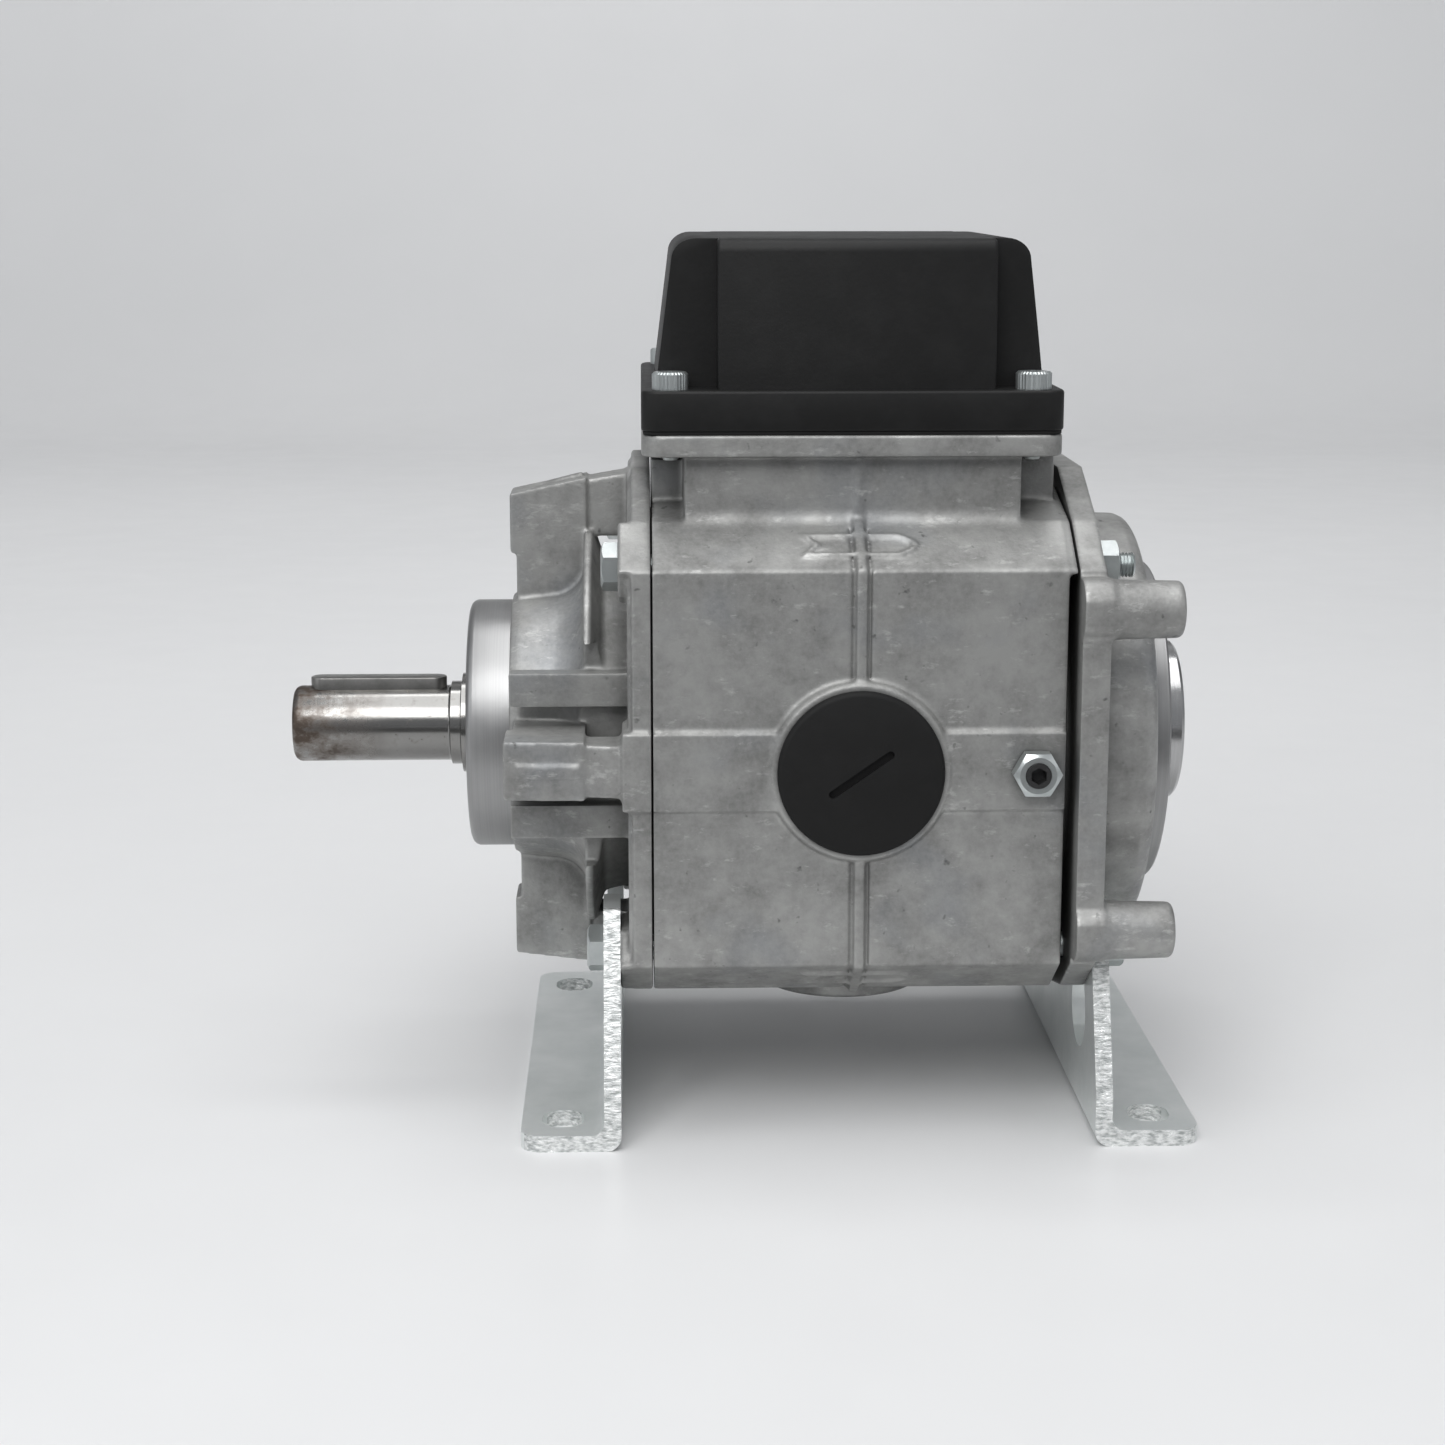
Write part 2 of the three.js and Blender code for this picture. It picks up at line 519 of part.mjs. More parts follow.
function setScrew() {
  return cut(
    rodY(SET_SCREW.x, 0, SET_SCREW.radius, SET_SCREW.outerEnd, SET_SCREW.innerEnd),
    rodY(SET_SCREW.x, 0, SET_SCREW.socketRadius, SET_SCREW.outerEnd - 1, SET_SCREW.outerEnd + 3, 6),
  );
}

function lockNut() {
  const seat = -(HOUSING.halfWidth + BAND.proud);
  const radius = BOLT.acrossCorners / 2;
  const blank = rodY(0, 0, radius, seat - BOLT.nutHeight, seat,
    6).rotateY(Math.PI / 6).translate(SET_SCREW.x, 0, 0);
  return cut(blank, rodY(SET_SCREW.x, 0, SET_SCREW.radius + 0.2, seat - 9, seat + 1));
}

/** The lower pair of bolts also clamps the feet, so their heads and nuts stand one sheet further out. */
function boltStack(signZ) {
  const extra = signZ < 0 ? FOOT.sheet : 0;
  const headFace = LEFT_PLATE.boss - extra;
  const nutFace = RIGHT_PLATE.right + extra;
  return { headFace, nutFace, end: nutFace + BOLT.nutHeight + 3.8 };
}

function throughBolt(signY, signZ) {
  const { headFace, end } = boltStack(signZ);
  const [y, z] = [signY * BOLT.offset, signZ * BOLT.offset];
  return join(
    rodX(0, 0, BOLT.acrossCorners / 2, headFace - BOLT.headHeight, headFace, 6).translate(0, y, z),
    rodX(y, z, BOLT.radius, headFace - 1, end),
  );
}

function throughNut(signY, signZ) {
  const { nutFace } = boltStack(signZ);
  const [y, z] = [signY * BOLT.offset, signZ * BOLT.offset];
  const blank = rodX(0, 0, BOLT.acrossCorners / 2, nutFace, nutFace + BOLT.nutHeight, 6).translate(0, y, z);
  return cut(blank, rodX(y, z, BOLT.radius + 0.2, nutFace - 1, nutFace + BOLT.nutHeight + 1));
}

// ---------------------------------------------------------------- output shaft
const OUTPUT_KEY = { x0: -106.6, x1: -72.6, halfWidth: 3, bottom: 6, top: 12 };
const HUB_KEY = { x0: MIDDLE - 9, x1: MIDDLE + 9, halfWidth: 3, bottom: 8, top: 15.3 };

function keyBlank(key, clearance) {
  const shape = roundedRectangle(
    key.x0 - clearance, key.x1 + clearance, -key.halfWidth - clearance, key.halfWidth + clearance,
    key.halfWidth - 0.05,
  );
  return slabZ(shape, key.bottom - clearance, key.top + clearance);
}

function squareKey(key, clearance) {
  return box(
    key.x0 - clearance, key.x1 + clearance, -key.halfWidth - clearance, key.halfWidth + clearance,
    key.bottom - clearance, key.top + clearance,
  );
}

function outputShaft() {
  const tip = -HALF_LENGTH;
  const hubEnd = MIDDLE + ARMATURE_HUB.halfLength + 0.4;
  const profile = [
    [tip, 0], [tip, SHAFT.end - 1.2], [tip + 1.2, SHAFT.end], [-71.45, SHAFT.end], [-71.45, SHAFT.step],
    [-68.75, SHAFT.step], [-68.75, SHAFT.seat], [OUTPUT_BEARING.right, SHAFT.seat],
    [OUTPUT_BEARING.right, SHAFT.shoulder], [-41, SHAFT.shoulder], [-41, SHAFT.hubSeat],
    [hubEnd, SHAFT.hubSeat],
    [hubEnd, SHAFT.pilot], [53, SHAFT.pilot], [53, 0],
  ];
  return cut(turned(profile), keyBlank(OUTPUT_KEY, 0.1), squareKey(HUB_KEY, 0.1));
}

/** The hub that carries both armature discs: two hexagonal ends and a stop flange between them. */
function armatureHub() {
  const ends = [MIDDLE - ARMATURE_HUB.halfLength, MIDDLE + ARMATURE_HUB.halfLength];
  return cut(
    join(
      hexagonBar(ARMATURE_HUB.hexInradius, ...ends),
      rodX(0, 0, ARMATURE_HUB.flangeRadius, MIDDLE - ARMATURE.halfFlange, MIDDLE + ARMATURE.halfFlange,
        FACETS.inside),
    ),
    turned([[ends[0] - 1, 0], [ends[0] - 1, SHAFT.hubSeat + 0.05], [ends[1] + 1, SHAFT.hubSeat + 0.05],
      [ends[1] + 1, 0]]),
    box(ends[0] - 1, ends[1] + 1, -HUB_KEY.halfWidth - 0.1, HUB_KEY.halfWidth + 0.1, 0, HUB_KEY.top + 0.1),
  );
}

/** Faces of an armature disc; side is -1 towards the brake and 1 towards the clutch. */
function armatureFaces(side) {
  const stop = MIDDLE + side * (ARMATURE.halfFlange + ARMATURE.stopGap);
  const working = (side < 0 ? BRAKE.face : CLUTCH.face) - side * ARMATURE.gap;
  return { stop, working };
}

function armature(side) {
  const { stop, working } = armatureFaces(side);
  return cut(
    rodX(0, 0, ARMATURE.outer, ...span(stop, working), FACETS.inside),
    hexagonBar(ARMATURE_HUB.hexInradius + 0.2, ...span(stop - side, working + side)),
    rodX(0, 0, ARMATURE.pocketOuter, ...span(working - side * ARMATURE.pocketDepth, working + side),
      FACETS.inside),
  );
}

/** A wave washer in the armature's pocket, which lifts the armature back to the stop flange. */
function returnSpring(side) {
  const { working } = armatureFaces(side);
  const middle = working - side * 1.15;
  const thickness = 0.5;
  const geometry = ring(middle - thickness / 2, middle + thickness / 2, 24, 28.4);
  const points = geometry.getAttribute('position');
  for (let i = 0; i < points.count; i += 1) {
    const angle = Math.atan2(points.getZ(i), points.getY(i));
    points.setX(i, points.getX(i) + 0.5 * Math.cos(3 * angle));
  }
  return geometry;
}

/** The plate on the hub's end that the wave washer pushes against. */
function springRetainer(side) {
  const { working } = armatureFaces(side);
  const inner = working - side * 0.3;
  return cut(
    rodX(0, 0, 28.6, ...span(inner, inner + side * 1.4), FACETS.inside),
    hexagonBar(ARMATURE_HUB.hexInradius + 0.05, ...span(inner - side, inner + side * 3)),
  );
}

// ---------------------------------------------------------------- brake and clutch
const LINING = { thickness: 1.5, clearance: 0.15, set: 0.1 };

function brakeMagnet() {
  const { inner, outer, slotInner, slotOuter } = MAGNET;
  return turnedRing([
    [BRAKE.back, inner], [BRAKE.back, outer], [BRAKE.face, outer], [BRAKE.face, slotOuter], [0, slotOuter],
    [0, slotInner], [BRAKE.face, slotInner], [BRAKE.face, inner],
  ]);
}

function coilRing(x0, x1) {
  return ring(x0, x1, MAGNET.slotInner + 0.3, MAGNET.slotOuter - 0.3);
}

function liningRing(face, side) {
  return ring(...span(face - side * LINING.set, face - side * (LINING.set + LINING.thickness)),
    MAGNET.slotInner + LINING.clearance, MAGNET.slotOuter - LINING.clearance);
}

function clutchRotor() {
  const groove = CLUTCH.face + LINING.set + LINING.thickness;
  return turnedRing([
    [CLUTCH.face, MAGNET.inner], [CLUTCH.face, MAGNET.slotInner], [groove, MAGNET.slotInner],
    [groove, MAGNET.slotOuter], [CLUTCH.face, MAGNET.slotOuter], [CLUTCH.face, MAGNET.outer],
    [CLUTCH.webRight, MAGNET.outer], [CLUTCH.webRight, 16.05], [CLUTCH.webLeft, 16.05],
    [CLUTCH.webLeft, MAGNET.inner],
  ]);
}

function clutchMagnet() {
  const { outer, slotInner, slotOuter } = MAGNET;
  return turnedRing([
    [CLUTCH.magnetLeft, 25], [CLUTCH.magnetLeft, slotInner], [60, slotInner], [60, slotOuter],
    [CLUTCH.magnetLeft, slotOuter], [CLUTCH.magnetLeft, outer], [CLUTCH.magnetRight, outer],
    [CLUTCH.magnetRight, 25],
  ]);
}

const HUB_RING = { x0: 85.35, x1: 87.1 };

function inputHub() {
  const end = HALF_LENGTH;
  const profile = [
    [41, 12], [41, 16], [58, 16], [58, 22.5], [INPUT_BEARING.left - 0.05, 22.5],
    [INPUT_BEARING.left - 0.05, 20],
    [HUB_RING.x0, 20], [HUB_RING.x0, 18.8], [HUB_RING.x1, 18.8], [HUB_RING.x1, 20], [end - 1, 20], [end, 19],
    [end, 10.5], [end - 1, 9.55], [60, 9.55], [60, 6], [53.6, 6], [53.6, 12],
  ];
  return cut(turnedRing(profile), box(60.5, end + 1, -3, 3, 5, 12.3));
}

// ---------------------------------------------------------------- bearings
function bearingSizes({ left, right, bore, outer, ballRadius }) {
  const pitch = (bore + outer) / 2;
  return { left, right, bore, outer, ballRadius, pitch, centre: (left + right) / 2, gap: 2.2,
    clearance: 0.3 };
}

/** Points along the ball groove of a race, from one edge to the other. */
function groove(size, side) {
  const radius = size.ballRadius + size.clearance;
  const halfWidth = Math.sqrt(radius ** 2 - size.gap ** 2) + 1;
  return [
    [size.centre - halfWidth, size.pitch + side * size.gap],
    [size.centre, size.pitch + side * (radius + 0.5)],
    [size.centre + halfWidth, size.pitch + side * size.gap],
  ];
}

function outerRace(bearing) {
  const size = bearingSizes(bearing);
  const inner = size.pitch + size.gap;
  return turnedRing([[size.left, inner], ...groove(size, 1), [size.right, inner], [size.right, size.outer],
    [size.left, size.outer]]);
}

function innerRace(bearing) {
  const size = bearingSizes(bearing);
  const outer = size.pitch - size.gap;
  return turnedRing([[size.left, outer], ...groove(size, -1), [size.right, outer], [size.right, size.bore],
    [size.left, size.bore]]);
}

/** The balls and the cage that spaces them, one piece because the cage's pockets hold every ball. */
function ballCage(bearing, count) {
  const size = bearingSizes(bearing);
  const cage = ring(size.centre - 4.6, size.centre + 4.6, size.pitch - 0.9, size.pitch + 0.9);
  const balls = Array.from({ length: count }, (_, i) => {
    const angle = (i / count) * 2 * Math.PI;
    const ball = new THREE.SphereGeometry(size.ballRadius, 6, 4).rotateZ(Math.PI / 2);
    return ball.translate(size.centre, 0, size.pitch).rotateX(angle);
  });
  return join(cage, ...balls);
}

// ---------------------------------------------------------------- assembly
const unit = new THREE.Group();
const aboutAxis = new THREE.Group();
aboutAxis.position.z = SHAFT_HEIGHT;
unit.add(aboutAxis);

/** Add a named piece, given about the shaft axis, to the unit. */
function add(name, shape, material) {
  const { vertProperties, triVerts } = toSolid(shape).getMesh();
  const geometry = new THREE.BufferGeometry();
  geometry.setAttribute('position', new THREE.BufferAttribute(new Float32Array(vertProperties), 3));
  geometry.setIndex(new THREE.BufferAttribute(new Uint32Array(triVerts), 1));
  geometry.computeVertexNormals();
  const mesh = new THREE.Mesh(geometry, material);
  mesh.name = name;
  aboutAxis.add(mesh);
}

add('main_housing', mainHousing(), castAluminium);
add('output_end_shield', outputEndShield(), castAluminium);
add('input_flange', inputFlange(), castAluminium);
add('foot_bracket_output', footBracket(LEFT_PLATE.boss, -52.75, -1), zincPlate);
add('foot_bracket_input', footBracket(RIGHT_PLATE.right, 108.15, 1), zincPlate);

add('terminal_box_lid', terminalBoxLid(), blackPlastic);
add('lid_gasket', lidGasket(), blackRubber);
add('terminal_block', terminalBlock(), phenolic);
TERMINALS.x.forEach((x, i) => add(`terminal_screw_${i + 1}`, terminalScrew(x), zincPlate));
add('cable_entry_plug', cableEntryPlug(), blackPlastic);
QUADRANTS.forEach(([x, y], i) => add(`lid_screw_${i + 1}`, lidScrew(x, y), zincPlate));

add('inspection_plug_front', inspectionPlug(-1), blackRubber);
add('inspection_plug_rear', inspectionPlug(1), blackRubber);
add('set_screw', setScrew(), blackSteel);
add('lock_nut', lockNut(), zincPlate);
QUADRANTS.forEach(([y, z], i) => {
  add(`through_bolt_${i + 1}`, throughBolt(y, z), zincPlate);
  add(`through_nut_${i + 1}`, throughNut(y, z), zincPlate);
});

add('output_shaft', outputShaft(), machinedSteel);
add('output_key', keyBlank(OUTPUT_KEY, 0), machinedSteel);
add('output_bearing_outer', outerRace(OUTPUT_BEARING), bearingSteel);
add('output_bearing_balls', ballCage(OUTPUT_BEARING, 9), bearingSteel);
add('output_bearing_inner', innerRace(OUTPUT_BEARING), bearingSteel);
add('output_bearing_ring', ring(OUTPUT_BEARING.right + 0.15, -43.5, 23.5, 27.5), springSteel);
add('output_shaft_seal', ring(NOSE.left + 0.3, OUTPUT_BEARING.left - 0.4, SHAFT.seat + 0.3, 20), blackRubber);

add('armature_hub', armatureHub(), magnetSteel);
add('armature_hub_key', squareKey(HUB_KEY, 0), machinedSteel);
add('brake_armature', armature(-1), magnetSteel);
add('clutch_armature', armature(1), magnetSteel);
add('brake_return_spring', returnSpring(-1), springSteel);
add('clutch_return_spring', returnSpring(1), springSteel);
add('brake_spring_retainer', springRetainer(-1), springSteel);
add('clutch_spring_retainer', springRetainer(1), springSteel);

add('brake_magnet', brakeMagnet(), magnetSteel);
add('brake_coil', coilRing(0.3, 14), copper);
add('brake_lining', liningRing(BRAKE.face, 1), lining);
add('clutch_rotor', clutchRotor(), magnetSteel);
add('clutch_lining', liningRing(CLUTCH.face, -1), lining);
add('clutch_magnet', clutchMagnet(), magnetSteel);
add('clutch_coil', coilRing(47.6, 59.7), copper);

add('input_hub', inputHub(), machinedSteel);
add('pilot_bushing', ring(41.2, 53.2, SHAFT.pilot + 0.1, 11.95), bronze);
add('input_bearing_outer', outerRace(INPUT_BEARING), bearingSteel);
add('input_bearing_balls', ballCage(INPUT_BEARING, 10), bearingSteel);
add('input_bearing_inner', innerRace(INPUT_BEARING), bearingSteel);
add('input_bearing_ring', ring(67.6, 69.9, 32, 36.5), springSteel);
add('input_hub_ring', ring(HUB_RING.x0 + 0.1, HUB_RING.x1 - 0.1, 19, 23.5), springSteel);

export default unit;
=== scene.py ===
"""Looks of the electromagnetic clutch-brake unit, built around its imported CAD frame.

Pieces are modelled in millimetres about the shaft axis (X along the shaft, Z up from the axis)
and turned into metres in the row frame by finish_piece().
"""
import json
import math

import bmesh
import bpy
from mathutils import Matrix, Vector


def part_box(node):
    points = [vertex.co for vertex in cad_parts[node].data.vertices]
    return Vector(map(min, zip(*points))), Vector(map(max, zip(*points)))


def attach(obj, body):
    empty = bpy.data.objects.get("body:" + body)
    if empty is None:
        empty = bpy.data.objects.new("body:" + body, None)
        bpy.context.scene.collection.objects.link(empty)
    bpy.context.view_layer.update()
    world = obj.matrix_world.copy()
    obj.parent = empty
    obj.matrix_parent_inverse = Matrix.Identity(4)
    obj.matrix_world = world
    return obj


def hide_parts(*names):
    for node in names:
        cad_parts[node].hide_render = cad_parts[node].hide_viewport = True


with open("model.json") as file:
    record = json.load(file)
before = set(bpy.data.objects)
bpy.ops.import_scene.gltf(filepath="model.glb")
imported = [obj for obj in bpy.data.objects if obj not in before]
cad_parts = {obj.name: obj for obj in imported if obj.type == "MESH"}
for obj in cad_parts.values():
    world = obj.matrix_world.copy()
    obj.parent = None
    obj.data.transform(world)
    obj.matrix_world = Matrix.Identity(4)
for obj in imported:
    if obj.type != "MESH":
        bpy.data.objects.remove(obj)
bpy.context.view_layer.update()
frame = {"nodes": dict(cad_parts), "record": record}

# ---------------------------------------------------------------- sizes read from the frame
MM = 0.001
AXIS = sum(corner.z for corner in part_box("output_shaft")) / 2 / MM


def limits(node):
    """A CAD node's lowest and highest corners in millimetres about the shaft axis."""
    low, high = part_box(node)
    lift = Vector((0, 0, AXIS))
    return low / MM - lift, high / MM - lift


def middle_of(node, axis):
    """The middle of a CAD node's box along x, y or z."""
    low, high = limits(node)
    return (getattr(low, axis) + getattr(high, axis)) / 2


HOUSE_LOW, HOUSE_HIGH = limits("main_housing")
LID_LOW, LID_HIGH = limits("terminal_box_lid")
SHAFT_LOW, SHAFT_HIGH = limits("output_shaft")
GASKET_LOW, GASKET_HIGH = limits("lid_gasket")
SHIELD_LEFT = limits("output_end_shield")[0].x
FLANGE_RIGHT = limits("input_flange")[1].x
HUB_RIGHT = limits("input_hub")[1].x
MIDDLE = middle_of("inspection_plug_front", "x")
LID_CENTRE = middle_of("terminal_box_lid", "x")

# the section that the housing and both end plates share
HALF_WIDTH = 60.5
FLAT = 46.8
SHOULDER = (45.8, 56.5)
CROWN = (22, 62)
PLATE_CROWN = (22, 66.5)
BAND_HALF_HEIGHT = 9.4
BAND_PROUD = 1
BORE = 53.5
BOLT_OFFSET = 46
BOLT_HOLE = 3.3

# faces of the castings along the shaft
PAD_FACE = -28.95
PLATE_LEFT = -25.95
PLATE_RIGHT = -21.3
DRUM_LEFT = -21
DRUM_RIGHT = 74.75
INPUT_PLATE_LEFT = 77
INPUT_PLATE_RIGHT = 83.05

# the neck and the flange that carry the terminal box, and its lid
NECK_LEFT = -13.45
NECK_RIGHT = 65
NECK_HALF_WIDTH = 45.5
BOX_FLANGE_BOTTOM = 71.7
LID_FLANGE_TOP = 87
LID_SCREW_X = 42.1
LID_SCREW_Y = 44
ENTRY_HEIGHT = 102

# the four posts on the input plate
POST_Y = 62.3
POST_HOLE_Y = 62.5
POST_Z = 38

PLUG_HOLE = 17
SHEET = 4
QUADRANTS = [(-1, 1), (1, 1), (-1, -1), (1, -1)]
VOXEL = 0.5
SMOOTH_PASSES = 6
KEPT_SHARE = 0.3
ROUND = 96

# ---------------------------------------------------------------- solids
FRAMES = {
    "X": Matrix(((0, 0, 1), (1, 0, 0), (0, 1, 0))).to_4x4(),
    "Y": Matrix(((1, 0, 0), (0, 0, 1), (0, 1, 0))).to_4x4(),
    "Z": Matrix.Identity(4),
}


def keep(bm):
    """A closed working solid from bm, with its faces turned outwards."""
    bmesh.ops.recalc_face_normals(bm, faces=bm.faces)
    mesh = bpy.data.meshes.new("solid")
    bm.to_mesh(mesh)
    bm.free()
    made = bpy.data.objects.new("solid", mesh)
    bpy.context.scene.collection.objects.link(made)
    return made


def prism(points, low, high, axis="X", place=None):
    """The outline pushed along the axis: X takes (y, z) points, Y takes (x, z), Z takes (x, y)."""
    place = place or FRAMES[axis]
    bm = bmesh.new()
    ends = [[bm.verts.new(place @ Vector((a, b, c))) for a, b in points] for c in (low, high)]
    bm.faces.new(ends[0])
    bm.faces.new(ends[1][::-1])
    for i in range(len(points)):
        j = (i + 1) % len(points)
        bm.faces.new((ends[0][i], ends[0][j], ends[1][j], ends[1][i]))
    return keep(bm)


def turned(profile, axis="X", centre=(0, 0), ring=False, segments=None, ripple=0):
    """The (position, radius) profile turned about the axis; a ring's profile closes on itself."""
    place = FRAMES[axis]
    segments = segments or ROUND
    bm = bmesh.new()
    rows = []
    for t, r in profile:
        count = segments if r > 0 else 1
        row = []
        for k in range(count):
            angle = 2 * math.pi * k / count
            reach = r - ripple * (k % 2) if r > 0 else 0
            a = centre[0] + reach * math.cos(angle)
            b = centre[1] + reach * math.sin(angle)
            row.append(bm.verts.new(place @ Vector((a, b, t))))
        rows.append(row)
    followers = rows[1:] + (rows[:1] if ring else [])
    for one, two in zip(rows, followers):
        for k in range(segments):
            j = (k + 1) % segments
            corners = [one[k % len(one)], one[j % len(one)], two[j % len(two)], two[k % len(two)]]
            corners = list(dict.fromkeys(corners))
            if len(corners) > 2:
                bm.faces.new(corners)
    return keep(bm)


def block(x0, x1, y0, y1, z0, z1):
    """A box between the given limits."""
    x0, x1 = sorted((x0, x1))
    y0, y1 = sorted((y0, y1))
    return prism([(x0, y0), (x1, y0), (x1, y1), (x0, y1)], z0, z1, "Z")


def rod(axis, a, b, radius, low, high, segments=32):
    """A round bar along the axis, centred on (a, b)."""
    return turned([(low, 0), (low, radius), (high, radius), (high, 0)], axis, (a, b), segments=segments)


def arc(cx, cy, radius, start, end, steps=8):
    """Points on a circle from start to end, in degrees."""
    turns = [math.radians(start + (end - start) * i / steps) for i in range(steps + 1)]
    return [(cx + radius * math.cos(t), cy + radius * math.sin(t)) for t in turns]


def rounded(x0, x1, y0, y1, radius, steps=8):
    """A rectangle with round corners."""
    return (
        arc(x1 - radius, y1 - radius, radius, 0, 90, steps)
        + arc(x0 + radius, y1 - radius, radius, 90, 180, steps)
        + arc(x0 + radius, y0 + radius, radius, 180, 270, steps)
        + arc(x1 - radius, y0 + radius, radius, 270, 360, steps)
    )


def hexagon(across_corners, phase=90):
    """The corners of a hexagon, the first of them at the phase in degrees."""
    return [
        (across_corners / 2 * math.cos(math.radians(phase + 60 * k)),
         across_corners / 2 * math.sin(math.radians(phase + 60 * k)))
        for k in range(6)
    ]


def applied(obj, *steps):
    """obj with these modifiers added in turn and their result kept as its mesh."""
    for kind, settings in steps:
        modifier = obj.modifiers.new(kind, kind)
        for key, value in settings.items():
            setattr(modifier, key, value)
    graph = bpy.context.evaluated_depsgraph_get()
    mesh = bpy.data.meshes.new_from_object(obj.evaluated_get(graph))
    obj.modifiers.clear()
    obj.data = mesh
    return obj


def combined(base, tools, operation):
    """base with the tools joined to it, cut from it or kept in common, and the tools used up."""
    steps = [("BOOLEAN", {"object": t, "operation": operation, "solver": "MANIFOLD"}) for t in tools]
    applied(base, *steps)
    for tool in tools:
        bpy.data.objects.remove(tool)
    return base


def joined(base, *more):
    return combined(base, more, "UNION")


def cut(base, *tools):
    return combined(base, tools, "DIFFERENCE")


def common(base, tool):
    return combined(base, [tool], "INTERSECT")


def bevelled(obj, width, segments=3, angle=35):
    return applied(obj, ("BEVEL", {
        "width": width, "segments": segments, "limit_method": "ANGLE",
        "angle_limit": math.radians(angle), "use_clamp_overlap": True,
    }))


def cast(obj):
    """obj as one casting: its bodies fused, its edges and corners softened."""
    steps = [
        ("REMESH", {"mode": "VOXEL", "voxel_size": VOXEL}),
        ("SMOOTH", {"factor": 0.5, "iterations": SMOOTH_PASSES}),
    ]
    steps.append(("DECIMATE", {"ratio": KEPT_SHARE}))
    return applied(obj, *steps)


def bolt_holes(radius, x0, x1):
    """Four rods on the centres of the through bolts."""
    return [rod("X", y * BOLT_OFFSET, z * BOLT_OFFSET, radius, x0, x1) for y, z in QUADRANTS]


def finish_piece(obj, name, body, material, nodes=(), sharp=35):
    """Names a finished piece, moves it into the row frame, ties it to its body and gives it its material."""
    obj.name = name
    mesh = obj.data
    mesh.name = name
    mesh.transform(Matrix.Scale(MM, 4) @ Matrix.Translation((0, 0, AXIS)))
    mesh.shade_smooth()
    mesh.set_sharp_from_angle(angle=math.radians(sharp))
    if not mesh.materials:
        mesh.materials.append(material)
    else:
        mesh.materials[0] = material
    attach(obj, body)
    if nodes:
        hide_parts(*nodes)


# ---------------------------------------------------------------- materials
def link(tree, value, socket):
    """Sets a socket to a number or colour, or links an output to it."""
    if isinstance(value, bpy.types.NodeSocket):
        tree.links.new(value, socket)
    else:
        socket.default_value = value


def noise(tree, scale, detail=4, rough=0.55, stretch=(1, 1, 1)):
    """A noise value in object coordinates, scale in features per metre."""
    place = tree.nodes.new("ShaderNodeTexCoord")
    mapping = tree.nodes.new("ShaderNodeMapping")
    mapping.inputs["Scale"].default_value = stretch
    tree.links.new(place.outputs["Object"], mapping.inputs["Vector"])
    texture = tree.nodes.new("ShaderNodeTexNoise")
    texture.inputs["Scale"].default_value = scale
    texture.inputs["Detail"].default_value = detail
    texture.inputs["Roughness"].default_value = rough
    tree.links.new(mapping.outputs["Vector"], texture.inputs["Vector"])
    return texture.outputs["Fac"]


def remap(tree, value, low, high, to_low=0, to_high=1):
    made = tree.nodes.new("ShaderNodeMapRange")
    made.inputs["From Min"].default_value = low
    made.inputs["From Max"].default_value = high
    made.inputs["To Min"].default_value = to_low
    made.inputs["To Max"].default_value = to_high
    link(tree, value, made.inputs["Value"])
    return made.outputs["Result"]


def calc(tree, operation, a, b=0):
    made = tree.nodes.new("ShaderNodeMath")
    made.operation = operation
    link(tree, a, made.inputs[0])
    link(tree, b, made.inputs[1])
    return made.outputs[0]


def mixed(tree, factor, a, b):
    made = tree.nodes.new("ShaderNodeMix")
    made.data_type = "RGBA"
    link(tree, factor, made.inputs["Factor"])
    link(tree, a, made.inputs[6])
    link(tree, b, made.inputs[7])
    return made.outputs[2]


def along(tree, axis):
    """The object coordinate along X, Y or Z, in metres."""
    place = tree.nodes.new("ShaderNodeTexCoord")
    split = tree.nodes.new("ShaderNodeSeparateXYZ")
    tree.links.new(place.outputs["Object"], split.inputs[0])
    return split.outputs[axis]


def bump(tree, height, distance, normal=None):
    made = tree.nodes.new("ShaderNodeBump")
    made.inputs["Strength"].default_value = 1
    made.inputs["Distance"].default_value = distance
    tree.links.new(height, made.inputs["Height"])
    if normal:
        tree.links.new(normal, made.inputs["Normal"])
    return made.outputs["Normal"]


def grey(level):
    return (level, level, level, 1)


def shader(name, metallic, **constants):
    """A new material, its node tree and its Principled shader."""
    made = bpy.data.materials.new(name)
    made.use_nodes = True
    tree = made.node_tree
    surface = tree.nodes["Principled BSDF"]
    surface.inputs["Metallic"].default_value = metallic
    for key, value in constants.items():
        surface.inputs[key.replace("_", " ")].default_value = value
    return made, tree, surface


def crevice(tree, distance):
    """Ambient occlusion: 1 in the open and near 0 in corners and joints, where shade falls."""
    made = tree.nodes.new("ShaderNodeAmbientOcclusion")
    made.samples = 8
    made.inputs["Distance"].default_value = distance
    return made.outputs["AO"]


